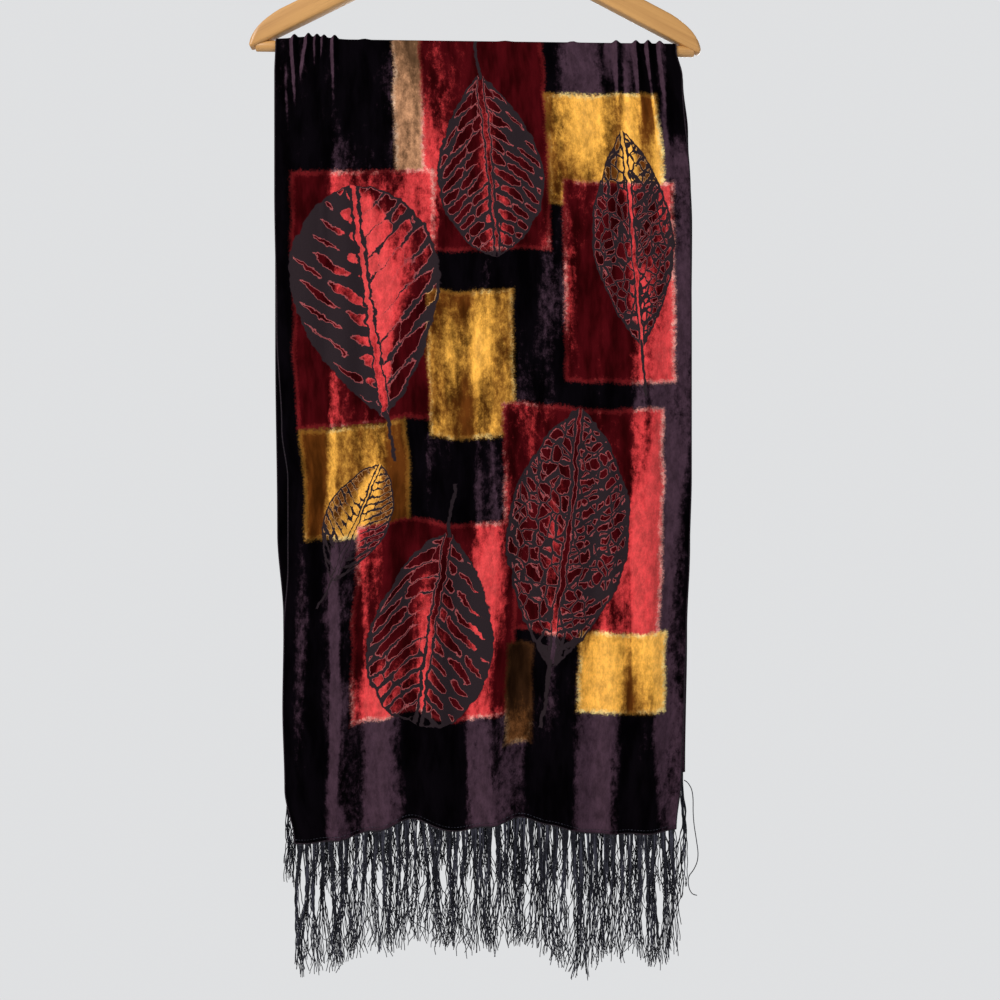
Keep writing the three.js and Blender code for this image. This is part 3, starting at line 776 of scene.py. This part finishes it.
def velvet_material(name, scarf, blocks, leaves):
    """Crushed velvet: dyed blocks, burnt leaves, and painted light and shade that blends lit and shaded
    pile colours with the folds.
    """
    material, r = new_material(name)
    place = r.add("Attribute", attribute_name="cloth_place").outputs["Vector"]
    # painted light and shade from the folds and bands, read by point
    painted_fold_light = r.add("Attribute", attribute_name="nap").outputs["Fac"]
    fray = r.noise(place, 430.0, 3.0, 0.75)["Color"]
    drift = r.noise(place, 30.0)["Color"]
    frayed = r.vector("ADD", place, r.stray(fray, (0.0095, 0.0105, 0.0)))
    frayed = r.vector("ADD", frayed, r.stray(drift, (0.007, 0.008, 0.0)))
    lit, shaded, dyed, painted_lit_bias = dyed_blocks(r, frayed, blocks, scarf)
    burnt, line, near_rib = leaf_masks(r, place, leaves)
    # painted light and shade: a level from the folds and bands, crushed pile, streaks and fine noise
    wide = r.grain(place, (13.5, 3.0, 1.0))
    streaks = r.grain(place, (60.0, 15.0, 1.0), 3.0, 0.6)
    crush = r.grain(place, (170.0, 105.0, 1.0), 5.0, 0.72)
    fine = r.grain(place, (900.0, 600.0, 1.0), 2.0, 0.6)
    nap = painted_fold_light
    for layer, weight in ((wide, 2.5), (streaks, 0.70), (crush, 0.95), (fine, 0.25)):
        nap = r.plus(nap, r.line(layer, weight, -weight / 2))
    # painted light: dyed blocks and the pile near a leaf's midrib lighter, the leaf's margins darker
    nap = r.plus(nap, r.line(dyed, 0.06, r.times(near_rib, 0.30)))
    # painted light and shade: the share of the lit copy, which starts sooner for dyes that lean to it
    start = r.line(painted_lit_bias, -0.30, 0.45)
    share = r.math("POWER", r.step(nap, start, 0.88), 1.7)
    patchy = r.grain(place, (120.0, 55.0, 1.0), 4.0, 0.8)
    # a tint for the painted highlight, and a pale tint for the painted highlight round the burnt areas
    painted_highlight_tint, pale = (0.14, 0.11, 0.09), (0.50, 0.34, 0.36, 1.0)
    # painted light brighter and darker in patches, painted shade in streaks
    lit = r.scaled(lit, r.step(patchy, 0.26, 0.74, 0.58, 1.40))
    shaded = r.scaled(shaded, r.step(streaks, 0.32, 0.66, 0.45, 1.50))
    # painted light and shade: the shaded and lit copies blended by that share
    colour = r.blend(share, shaded, lit)
    # painted highlight: the lit colour brightened and tinted where the painted light is strongest
    gleam = r.times(r.step(nap, 0.72, 1.15), r.line(fine, 0.9, -0.05))
    gleam = r.times(gleam, r.line(dyed, 0.30, 0.030))
    colour = r.blend(gleam, colour, r.vector("ADD", r.scaled(lit, 1.35), painted_highlight_tint))
    # burnt leaves
    # painted highlight: a pale line round the burnt areas, mixed from the painted lit pile and a pale
    # tint, weaker where the pile is painted lit
    glow = r.blend(0.30, lit, pale)
    line = r.times(line, r.line(dyed, 0.46, 0.10))
    line = r.times(line, r.line(share, -0.80, 1.0))
    colour = r.blend(line, colour, glow)
    colour = r.blend(burnt, colour, rgba(scarf.burnt))
    # relief
    height = r.line(crush, 0.55, r.times(streaks, 0.5))
    bump = r.add("Bump", {"Height": height, "Strength": 0.6, "Distance": 0.0012}).outputs[0]
    rough = r.blend(burnt, 0.62, 0.80, "FLOAT")
    r.finish({
        "Base Color": colour, "Roughness": rough, "Normal": bump,
        "Sheen Weight": 0.006, "Sheen Roughness": 0.35, "Specular IOR Level": 0.0,
    })
    return material


def thread_material(name, scarf):
    """Twisted rayon thread: near black with painted highlights along its twist, and some threads lighter
    at random.
    """
    material, r = new_material(name)
    place = r.own_place()
    twist = r.grain(place, (500.0, 500.0, 900.0), 1.0)
    tone = r.grain(place, (330.0, 330.0, 22.0))
    # painted highlight along the twist, and lighter threads at random, both towards the shine colour
    share = r.plus(r.step(twist, 0.50, 0.72, 0.0, 0.28), r.step(tone, 0.46, 0.68, 0.0, 0.55))
    shine = (0.080, 0.080, 0.112, 1.0)
    colour = r.blend(share, rgba(scarf.thread), shine)
    r.finish({
        "Base Color": colour, "Roughness": 0.5, "Sheen Weight": 0.02, "Specular IOR Level": 0.16,
    })
    return material


def hem_material(name, scarf):
    """Rolled edge of the velvet: dark pile with small woven ribs, their raised parts painted towards the
    lit pile colour as a painted highlight.
    """
    material, r = new_material(name)
    place = r.own_place()
    ribs = r.grain(place, (700.0, 700.0, 700.0), 1.0)
    dark = (0.010, 0.007, 0.010, 1.0)
    # painted highlight: the raised ribs blended towards the lit pile colour
    colour = r.blend(r.step(ribs, 0.45, 0.70, 0.0, 0.5), dark, rgba(scarf.ground))
    bump = r.add("Bump", {"Height": ribs, "Strength": 0.5, "Distance": 0.0005}).outputs[0]
    r.finish({
        "Base Color": colour, "Roughness": 0.7, "Normal": bump,
        "Sheen Weight": 0.02, "Specular IOR Level": 0.12,
    })
    return material


def wood_material(name, hanger, turn, seed):
    """Varnished wood: long grain lines, broad bands and short dark flecks that run along the piece."""
    material, r = new_material(name)
    place = r.vector("ADD", r.own_place(), (seed * 0.37, seed * 0.11, seed * 0.23))
    along = r.add("Mapping", {"Vector": place, "Rotation": (0, turn, 0)}).outputs[0]
    along = r.vector("MULTIPLY", along, (7.0, 90.0, 90.0))
    warp = r.noise(along, 0.8)["Fac"]
    bands = r.noise(along, 0.55, 3.0, 0.55)["Fac"]
    lines = r.noise(r.vector("MULTIPLY", along, (0.6, 5.0, 5.0)), 1.4, 4.0, 0.6)["Fac"]
    flecks = r.grain(along, (7.0, 8.0, 8.0), 1.0)
    lighter, deeper = 1.18, (0.66, 0.56, 0.48)
    light = rgba([min(1.0, c * lighter) for c in hanger.wood])
    deep = rgba([c * k for c, k in zip(hanger.wood, deeper)])
    share = r.plus(r.step(bands, 0.35, 0.68, 0.0, 0.55), r.step(lines, 0.48, 0.72, 0.0, 0.35))
    colour = r.blend(share, light, deep)
    colour = r.blend(r.step(flecks, 0.66, 0.74, 0.0, 0.35), colour, deep)
    colour = r.blend(r.step(warp, 0.50, 0.70, 0.0, 0.25), colour, rgba(hanger.wood))
    bump = r.add("Bump", {"Height": lines, "Strength": 0.12, "Distance": 0.0006}).outputs[0]
    r.finish({
        "Base Color": colour, "Roughness": 0.42, "Normal": bump,
        "Coat Weight": 0.25, "Coat Roughness": 0.22, "Specular IOR Level": 0.45,
    })
    return material


def steel_material(name):
    """Polished wire with faint drawn lines."""
    material, r = new_material(name)
    place = r.own_place()
    lines = r.grain(place, (300.0, 1800.0, 300.0))
    rough = r.step(lines, 0.3, 0.7, 0.18, 0.32)
    bright, dull = (0.60, 0.60, 0.62, 1.0), (0.42, 0.42, 0.44, 1.0)
    colour = r.blend(r.step(lines, 0.35, 0.75, 0.0, 0.4), bright, dull)
    r.finish({"Base Color": colour, "Roughness": rough, "Metallic": 1.0})
    return material


def columns_across():
    """Shares of the width, closer together at both gathered ends."""
    return np.concatenate([
        np.linspace(0.0, 0.175, 76, endpoint=False),
        np.linspace(0.175, 0.80, 80, endpoint=False),
        np.linspace(0.80, 1.0, 73),
    ])


class ClothGrid:
    """The whole cloth as rows from the back hem over the bar to the front hem."""

    band_fade = 0.06
    flat_shade = 0.32
    lit_flank = 0.85
    far_flank = 0.10

    def __init__(self, drape):
        front, back = drape.lengths["front"], drape.lengths["back"]
        self.drape = drape
        self.share = columns_across()[None, :]
        down = np.concatenate([np.linspace(0, 0.1, 30, endpoint=False), np.linspace(0.1, back, 96)])
        self.back = down[::-1, None]
        self.turn = np.linspace(math.pi, 0, 15)[1:-1, None]
        self.front = np.concatenate([
            np.linspace(0, 0.13, 54, endpoint=False), np.linspace(0.13, front, 150)
        ])[:, None]

    def points(self, depth):
        drape = self.drape
        return np.concatenate([
            drape.drop("back", self.share, self.back, depth),
            drape.turn(self.share, self.turn, depth),
            drape.drop("front", self.share, self.front, depth),
        ])

    def along(self):
        """Distance down the front from the top of the bar; the back is negative."""
        half_turn = math.pi * self.drape.inside / 2
        turn = half_turn * (1 - 2 * self.turn / math.pi)
        return np.concatenate([-self.back - half_turn, turn, self.front + half_turn])

    def nap(self):
        """Painted light and shade from folds and bands: flanks that face left are light, those that face
        right are dark.
        """
        parts = []
        for side, down in (("back", self.back), ("front", 0 * self.turn), ("front", self.front)):
            x = self.drape.across(side, self.share, down)
            slope = np.gradient(self.drape.rise(side, x, down), axis=1) / np.gradient(x, axis=1)
            lit, far = self.lit_flank * np.maximum(slope, 0), self.far_flank * np.maximum(-slope, 0)
            part = self.flat_shade + lit + far
            for band in rows_of(SIDES[side]["bands"]):
                run = (down - band["start"]) / self.band_fade, (band["end"] - down) / self.band_fade
                beside = smooth(1.5 - np.abs(x - band["x"]) / band["half_width"])
                part = part + band["light"] * smooth(run[0]) * smooth(run[1]) * beside
            parts.append(part)
        return np.clip(np.concatenate(parts), -0.2, 1.4)


class SCARF_OT_cloth(bpy.types.Operator):
    """Make the velvet: one shell over both drops and the turn over the bar"""

    bl_idname = "scarf.cloth"
    bl_label = "Velvet cloth"

    def execute(self, context):
        scarf, drape = hung(context)
        grid = ClothGrid(drape)
        outer, inner = grid.points(scarf.pile), grid.points(0.0)[::2, ::2]
        rows, columns = outer.shape[:2]
        faces = shell_faces(rows, columns)
        points = np.concatenate([outer.reshape(-1, 3), inner.reshape(-1, 3)])
        cloth = add_piece("velvet_cloth", points, faces, "velvet", [
            velvet_material("velvet_front", scarf, FRONT_BLOCKS, FRONT_LEAVES),
            velvet_material("velvet_back", scarf, BACK_BLOCKS, BACK_LEAVES),
        ])
        place = np.zeros((rows, columns, 3))
        place[..., 0] = (grid.share - 0.5) * LAID_WIDTH
        place[..., 1] = grid.along()
        self.fill(cloth.data, "cloth_place", "FLOAT_VECTOR", "vector", place)
        # painted light and shade from the folds and bands, stored by point
        self.fill(cloth.data, "nap", "FLOAT", "value", grid.nap()[..., None])
        behind = np.concatenate([place[..., 1].ravel(), place[::2, ::2, 1].ravel()]) < 0
        first = np.array([face[0] for face in faces])
        cloth.data.polygons.foreach_set("material_index", behind[first].astype(np.int32))
        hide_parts("scarf_front_drop", "scarf_bar_turn", "scarf_back_drop")
        return {"FINISHED"}

    def fill(self, mesh, name, kind, part, values):
        """Store values of the outer grid, and every second one for the inner grid, by point."""
        size = values.shape[-1]
        both = np.concatenate([values.reshape(-1, size), values[::2, ::2].reshape(-1, size)])
        mesh.attributes.new(name, kind, "POINT").data.foreach_set(part, both.ravel())


class SCARF_OT_hem(bpy.types.Operator):
    bl_idname = "scarf.hem"
    bl_label = "Rolled hem"

    def execute(self, context):
        scarf, drape = hung(context)
        grid = ClothGrid(drape)
        outer, inner = grid.points(scarf.pile), grid.points(0.0)
        edge = border(*outer.shape[:2])
        outer, inner = outer.reshape(-1, 3)[edge], inner.reshape(-1, 3)[edge]
        ring, outward = (outer + inner)[None] / 2, (outer - inner)[None]
        roll = tubes(ring, scarf.hem_radius, 7, closed=True, steady=outward)
        hem = add_piece("rolled_hem", *roll, "velvet", hem_material("hem_velvet", scarf))
        return {"FINISHED"}


class SCARF_OT_stitches(bpy.types.Operator):
    """Sew a row of running stitches above both hems"""

    bl_idname = "scarf.stitches"
    bl_label = "Hem stitches"
    row_length = 0.40
    stitch_start = 0.20
    stitch_share = 0.62
    sunk = 0.0001

    def execute(self, context):
        scarf, drape = hung(context)
        material = thread_material("sewing_thread", scarf)
        for side in SIDES:
            count = int(self.row_length / scarf.stitch_pitch)
            t = np.linspace(0, 1, 6)[None, :]
            share = (np.arange(count)[:, None] + self.stitch_start + self.stitch_share * t) / count
            depth = scarf.pile - self.sunk + 1.3 * scarf.stitch_radius * np.sin(np.pi * t)
            down = np.full(share.shape, drape.lengths[side] - scarf.stitch_inset)
            stitches = tubes(drape.drop(side, share, down, depth), scarf.stitch_radius, 5)
            add_piece(f"stitches_{side}", *stitches, "fringe_thread", material)
        return {"FINISHED"}


# How far the fringe's tufts and threads leave the straight line, in metres, and the room they have

FRAY = {
    "tuft_length": 0.004, "thread_length": 0.007,
    "tuft_sway": 0.0024, "tuft_lean": 0.0026, "wave": 0.0017, "splay": 0.0095, "stray": 0.022,
    "tip": 0.0030, "crinkle": 0.00048, "tuft_forward": 0.0026, "forward": 0.0050, "forward_wave": 0.0012,
    "left_room": 0.003, "right_room": 0.006, "depth_room": 0.008, "root": 0.0006,
}


def thread_paths(drape, scarf, side, seed):
    """Middle lines of the threads of one fringe.

    A thread starts in its tuft at the hem. Sideways it adds the tuft's slow sine, its own sine, a splay
    that grows as a power of the share below 0.3, and a small hook at the tip.
    """
    random = np.random.default_rng(seed)
    tuft = np.repeat(np.arange(scarf.tufts), scarf.threads)
    count = len(tuft)
    t = np.linspace(0, 1, 31)[None, :]

    def per_tuft(spread):
        return random.normal(0, spread, scarf.tufts)[tuft, None]

    def per_thread(spread):
        return random.normal(0, spread, (count, 1))

    def between(low, high, size=None):
        values = random.uniform(low, high, scarf.tufts if size == "tuft" else count)
        return values[tuft, None] if size == "tuft" else values[:, None]

    pitch = 1.0 / scarf.tufts
    centre = (tuft[:, None] + 0.5) * pitch + per_tuft(0.10 * pitch)
    inset = np.clip(centre + between(-0.36, 0.36) * pitch, 0.004, 0.996)[:, 0]
    root = drape.drop(side, inset, np.full(count, drape.lengths[side]), scarf.pile / 2)
    x = root[:, :1] - drape.middle_x
    length = read(FRINGE_LENGTHS, "x", "length", x) + per_tuft(FRAY["tuft_length"])
    length = length - np.abs(per_thread(FRAY["thread_length"]))
    sway = per_tuft(FRAY["tuft_sway"])
    sway = sway * np.sin(np.pi * t * between(0.8, 1.7, "tuft") + between(-0.5, 0.5, "tuft"))
    sway = sway * smooth(t / 0.35) + per_tuft(FRAY["tuft_lean"]) * t**1.5
    gathered, hung_width = 0.45, 0.41
    draw_in = -gathered * (inset[:, None] - centre) * hung_width * smooth(t / 0.25)
    wave = per_thread(FRAY["wave"]) * np.sin(2 * np.pi * t * between(1.2, 3.2) + between(0, 6.3))
    wave = wave * smooth((t - 0.10) / 0.35)
    splay = per_thread(FRAY["splay"]) * np.clip(t - 0.30, 0, 1) ** 1.3
    stray = np.where(between(0, 1) < 0.05, per_thread(FRAY["stray"]), 0)
    stray = stray * np.clip(t - 0.15, 0, 1) ** 1.2
    tip = per_thread(FRAY["tip"]) * smooth((t - 0.84) / 0.16)
    crinkle = FRAY["crinkle"] * smooth(t * 2.5)
    turns, start = between(6, 9), between(0, 6.3)
    side_x = sway + draw_in + wave + splay + stray + tip
    side_x = side_x + crinkle * np.sin(2 * np.pi * turns * t + start)
    edges = SIDES[side]["edges"]
    left = edges["left"][-1] - FRAY["left_room"] - x
    right = edges["right"][-1] + FRAY["right_room"] - x
    side_x = np.where(side_x > 0, right * np.tanh(side_x / right), left * np.tanh(side_x / left))
    side_y = per_tuft(FRAY["tuft_forward"]) * smooth(t / 0.5)
    side_y = side_y + per_thread(FRAY["forward"]) * np.clip(t - 0.2, 0, 1)
    forward_wave = per_thread(FRAY["forward_wave"])
    side_y = side_y + forward_wave * np.sin(2 * np.pi * t * between(1.2, 3.0) + between(0, 6.3)) * t
    side_y = FRAY["depth_room"] * np.tanh(side_y / FRAY["depth_room"])
    side_y = side_y + crinkle * np.cos(2 * np.pi * turns * t + start)
    down = length * (t - 0.04 * t * np.abs(splay + stray) / 0.004 * t)
    return root[:, None, :] + np.stack([side_x, side_y, FRAY["root"] - down], axis=-1)


class SCARF_OT_fringe(bpy.types.Operator):
    """Make both fringes: tufts of fine twisted threads under each hem, and one loose thread"""

    bl_idname = "scarf.fringe"
    bl_label = "Fringe"

    def execute(self, context):
        scarf, drape = hung(context)
        material = thread_material("fringe_thread", scarf)
        for side, seed in (("front", 3), ("back", 8)):
            paths = thread_paths(drape, scarf, side, seed)
            taper = np.linspace(1.0, 0.72, paths.shape[1])[None, :]
            threads = tubes(paths, scarf.thread_radius * taper, 4)
            fringe = add_piece(f"fringe_{side}_threads", *threads, "fringe_thread", material)
            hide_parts(f"fringe_{side}")
        self.loose_thread(drape, scarf, material)
        return {"FINISHED"}

    def loose_thread(self, drape, scarf, material):
        """The thread that has slipped out at the right of the back hem: a running mean of its places."""
        knots = np.arange(len(LOOSE_THREAD["x"]))
        steps = np.linspace(0, knots[-1], 60)
        reach = 3
        kernel = np.ones(2 * reach + 1) / (2 * reach + 1)
        x, down = (
            np.convolve(np.pad(np.interp(steps, knots, places), reach, mode="edge"), kernel, mode="valid")
            for places in LOOSE_THREAD.values()
        )
        y = np.linspace(drape.inside, drape.inside + 0.004, len(x))
        path = np.stack([drape.middle_x + x, y, drape.bar_z(x) - down], axis=-1)
        thread = tubes(path[None], scarf.thread_radius, 5)
        add_piece("fringe_loose_thread", *thread, "fringe_thread", material)


def turned(points, tilt):
    """Points drawn on the level hanger, turned about the hook's seat by the tilt."""
    c, s = math.cos(tilt), math.sin(tilt)
    x, y, z = points[..., 0], points[..., 1], points[..., 2]
    return np.stack([c * x + s * z, y, -s * x + c * z], axis=-1)


def bend(start, pull, end, t):
    """Quadratic curve from start to end, drawn towards pull."""
    return (1 - t) ** 2 * start + 2 * t * (1 - t) * pull + t * t * end


class ArmOutline:
    """Upper and lower edge of an arm, from the hanger's middle to its tip."""

    peak_half = 0.034
    peak_rise = {"over": 0.8, "under": 0.6}
    peak_pull = {"over": 0.35, "under": 0.45}
    shoulder = 0.030
    shoulder_pull = (0.004, 0.024)
    tip_round = 0.005
    tip_lift = 0.006

    def __init__(self, hanger):
        self.slope = math.tan(hanger.arm_slope)
        self.rise = hanger.arm_width / math.cos(hanger.arm_slope)
        self.half = hanger.half_span
        self.tip_z = -hanger.bar_drop - hanger.tip_drop
        p = self.peak_half
        self.peak_top = self.under(p) + self.rise + self.peak_rise["over"] * p * self.slope
        self.peak_under = self.under(p) + self.peak_rise["under"] * p * self.slope

    def under(self, x):
        return self.tip_z + (self.half - x) * self.slope

    def edge(self, lift, peak_z, peak_pull, end_x, turn_x, turn_z, steps=26):
        """Points of x and z along one edge: a bend at the peak, a straight run, a bend at the tip."""
        t = np.linspace(0, 1, 9)
        p, end_z = self.peak_half, self.under(end_x) + lift
        run = np.linspace(p, end_x, steps)[1:]
        x = [bend(0, peak_pull * p, p, t), run, bend(end_x, turn_x, self.half, t)[1:]]
        z = [
            bend(peak_z, peak_z, self.under(p) + lift, t),
            self.under(run) + lift,
            bend(end_z, turn_z, self.tip_z + self.tip_lift, t)[1:],
        ]
        return np.stack([np.concatenate(x), np.concatenate(z)], axis=-1)

    def edges(self):
        """The lower and the upper edge, with matching points."""
        half, tip_z, pull, turn = self.half, self.tip_z, self.peak_pull, self.shoulder_pull
        low = self.edge(0, self.peak_under, pull["under"], half - self.tip_round, half, tip_z)
        high_x = half - self.shoulder
        high = self.edge(self.rise, self.peak_top, pull["over"], high_x, half - turn[0], tip_z + turn[1])
        return low, high


def arm_points(hanger, toward, ring=28):
    """An arm as rings from the middle to the tip: a rounded box between its lower and upper edge."""
    low, high = ArmOutline(hanger).edges()
    angle = 2 * np.pi * np.arange(ring) / ring
    power, joint = 0.28, 0.00015
    up = np.sign(np.sin(angle)) * np.abs(np.sin(angle)) ** power
    out = np.sign(np.cos(angle)) * np.abs(np.cos(angle)) ** power
    middle, reach = (low + high) / 2, (high - low) / 2
    thin = np.sqrt(np.clip(np.linalg.norm(reach, axis=-1) / (hanger.arm_width / 2), 0.02, 1))
    spine = middle[:, None, :] + reach[:, None, :] * up[None, :, None]
    depth = hanger.arm_depth / 2 * out[None, :] * np.minimum(1, 0.45 + 0.55 * thin)[:, None]
    points = np.stack([toward * (spine[..., 0] + joint), depth, spine[..., 1]], axis=-1)
    return turned(points, hanger.tilt)


class SCARF_OT_hanger(bpy.types.Operator):
    """Make the two arms and the bar in varnished wood"""

    bl_idname = "scarf.hanger"
    bl_label = "Wooden hanger"
    bar_inset = 0.006
    bar_rim = 0.0008

    def execute(self, context):
        hanger = context.scene.hanger_sizes
        for side, toward in (("left", -1), ("right", 1)):
            points = arm_points(hanger, toward)
            # the right arm is a mirror image, so its faces run the other way round
            faces = [face[::-toward] for face in tube_faces(1, *points.shape[:2])]
            wood = wood_material(f"wood_arm_{side}", hanger, -toward * hanger.arm_slope, 1 + toward)
            arm = add_piece(f"arm_{side}", points, faces, "hanger_wood", wood)
            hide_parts(f"hanger_arm_{side}")
        # bar
        half, rim = hanger.half_span - self.bar_inset, self.bar_rim
        x = np.array([-half, -half + rim * 0.3, -half + rim, half - rim, half - rim * 0.3, half])
        x = np.concatenate([x[:3], np.linspace(x[2], x[3], 24)[1:-1], x[3:]])
        radius = np.full(len(x), hanger.bar_radius)
        radius[[0, -1]] -= rim
        radius[[1, -2]] -= rim * 0.3
        path = turned(np.stack([x, 0 * x, 0 * x - hanger.bar_drop], axis=-1), hanger.tilt)
        wood = wood_material("wood_bar", hanger, 0.0, 5)
        bar = add_piece("bar", *tubes(path[None], radius[None], 40), "hanger_wood", wood)
        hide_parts("hanger_bar")
        return {"FINISHED"}


def hook_path(hanger, foot):
    """The hook's middle line: a straight shank, a short bend one way and a long bend the other way."""
    round_radius = hanger.hook_radius + hanger.wire_radius
    neck = 0.010
    centre_z = -hanger.hook_radius
    between = round_radius + neck
    neck_z = centre_z - math.sqrt(between**2 - neck**2)
    meet = math.atan2(neck_z - centre_z, neck)
    shank = np.linspace(foot, neck_z, 10)[:-1]
    first = np.linspace(math.pi, math.pi + meet, 14)[:-1]
    second = np.linspace(meet, math.radians(185), 64)
    x = np.concatenate([0 * shank, neck + neck * np.cos(first), round_radius * np.cos(second)])
    z = np.concatenate([shank, neck_z + neck * np.sin(first), centre_z + round_radius * np.sin(second)])
    return np.stack([x, 0 * x, z], axis=-1)


# The hook's collar, from its foot up

COLLAR = table(
    "height radius",
    (-0.0012, 0.0046),
    (-0.0010, 0.0050),
    (0.0006, 0.0050),
    (0.0018, 0.0042),
    (0.0024, 0.0030),
    (0.0026, 0.0021),
)


class SCARF_OT_hook(bpy.types.Operator):
    """Make the wire hook with its rounded end and its collar"""

    bl_idname = "scarf.hook"
    bl_label = "Hook"
    shank_in_wood = 0.014

    def execute(self, context):
        hanger = context.scene.hanger_sizes
        top = ArmOutline(hanger).peak_top
        path = hook_path(hanger, top - self.shank_in_wood)
        radius = np.full(len(path), hanger.wire_radius)
        # rounded end
        ends = np.sqrt(np.clip(1 - (np.arange(1, 6) / 5.2) ** 2, 0.02, 1))
        tail = path[-1] + np.outer(np.linspace(0, 1, 6)[1:], path[-1] - path[-2]) * 1.1
        path = turned(np.concatenate([path, tail]), hanger.tilt)
        radius = np.concatenate([radius, hanger.wire_radius * ends])
        steel = steel_material("polished_steel")
        hook = add_piece("hook", *tubes(path[None], radius[None], 20), "hook_steel", steel)
        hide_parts("hanger_hook")
        # collar
        height = COLLAR["height"]
        line = turned(np.stack([0 * height, 0 * height, top + height], axis=-1), hanger.tilt)
        add_piece("hook_collar", *tubes(line[None], COLLAR["radius"][None], 32), "hook_steel", steel)
        return {"FINISHED"}


# Lights: place, size, watts and colour

LIGHTS = {
    "key": ((-1.7, -1.5, 0.5), 1.2, 62, (1.0, 0.98, 0.95)),
    "fill": ((1.7, -1.5, -0.4), 1.6, 14, (0.93, 0.96, 1.0)),
    "back_fill": ((0.8, 2.0, 0.2), 1.6, 40, (0.97, 0.98, 1.0)),
}


class SCARF_OT_stage(bpy.types.Operator):
    """Set up the camera, the soft lights and the pale floor"""

    bl_idname = "scarf.stage"
    bl_label = "Stage"

    def execute(self, context):
        scene = context.scene
        aim = (0.0221, 0.0, -0.6467)
        distance, frame_width = 1.5, 0.990
        lens = bpy.data.cameras.new("camera")
        lens.sensor_width = 36
        lens.sensor_fit = "HORIZONTAL"
        lens.lens = 36 * distance / frame_width
        lens.clip_start, lens.clip_end = 0.01, 50
        camera = bpy.data.objects.new("camera", lens)
        camera.location = (aim[0], aim[1] - distance, aim[2])
        camera.rotation_euler = (math.pi / 2, 0, 0)
        scene.collection.objects.link(camera)
        scene.camera = camera
        scene.view_settings.view_transform = "Standard"
        for name, (place, size, watts, colour) in LIGHTS.items():
            self.light(name, place, aim, size, watts, colour)
        self.world(scene)
        self.floor()
        return {"FINISHED"}

    def light(self, name, place, aim, size, watts, colour):
        lamp = bpy.data.lights.new(name, "AREA")
        lamp.shape = "SQUARE"
        lamp.size, lamp.energy, lamp.color = size, watts, colour
        holder = bpy.data.objects.new(name, lamp)
        holder.location = place
        away = holder.location - Vector(aim)
        holder.rotation_euler = away.to_track_quat("Z", "Y").to_euler()
        bpy.context.scene.collection.objects.link(holder)

    def world(self, scene):
        """A pale surround that lights the scene at less than half the strength it shows at."""
        world = bpy.data.worlds.new("pale_studio")
        world.use_nodes = True
        r = Recipe(world.node_tree)
        seen = r.add("LightPath").outputs["Is Camera Ray"]
        lighting, shown = 0.32, 0.76
        strength = r.line(seen, shown - lighting, lighting)
        shader = r.add("Background", {"Color": (0.975, 0.985, 1.0, 1.0), "Strength": strength})
        r.add("OutputWorld", {"Surface": shader.outputs[0]})
        scene.world = world

    def floor(self):
        half, level = 1.9, -1.80
        corners = [(half * x, half * y, level) for x, y in ((-1, -1), (1, -1), (1, 1), (-1, 1))]
        mesh = bpy.data.meshes.new("floor")
        mesh.from_pydata(corners, [], [(0, 1, 2, 3)])
        floor = bpy.data.objects.new("floor", mesh)
        bpy.context.scene.collection.objects.link(floor)
        material, r = new_material("pale_floor")
        place = r.own_place()
        tone = r.noise(place, 3.0)["Fac"]
        colour = r.blend(tone, (0.80, 0.80, 0.80, 1.0), (0.76, 0.76, 0.77, 1.0))
        r.finish({"Base Color": colour, "Roughness": 0.8})
        mesh.materials.append(material)


class SCARF_PT_panel(bpy.types.Panel):
    """Sizes, colours and the steps of the scarf"""

    bl_idname = "SCARF_PT_panel"
    bl_label = "Velvet scarf"
    bl_space_type = "VIEW_3D"
    bl_region_type = "UI"
    bl_category = "Scarf"

    def draw(self, context):
        for group in (context.scene.scarf_sizes, context.scene.hanger_sizes):
            for name in group.bl_rna.properties.keys():
                if name not in ("rna_type", "name"):
                    self.layout.prop(group, name)
        for step in STEPS:
            self.layout.operator(step.bl_idname)


STEPS = (
    SCARF_OT_stage, SCARF_OT_cloth, SCARF_OT_hem, SCARF_OT_stitches, SCARF_OT_fringe,
    SCARF_OT_hanger, SCARF_OT_hook,
)
CLASSES = (HangerSizes, ScarfSizes, *STEPS, SCARF_PT_panel)


def register():
    for one in CLASSES:
        bpy.utils.register_class(one)
    bpy.types.Scene.scarf_sizes = bpy.props.PointerProperty(type=ScarfSizes)
    bpy.types.Scene.hanger_sizes = bpy.props.PointerProperty(type=HangerSizes)


def unregister():
    del bpy.types.Scene.scarf_sizes
    del bpy.types.Scene.hanger_sizes
    for one in reversed(CLASSES):
        bpy.utils.unregister_class(one)


def main():
    register()
    bpy.ops.scarf.stage()
    bpy.ops.scarf.cloth()
    bpy.ops.scarf.hem()
    bpy.ops.scarf.stitches()
    bpy.ops.scarf.fringe()
    bpy.ops.scarf.hanger()
    bpy.ops.scarf.hook()


if __name__ == "__main__":
    main()
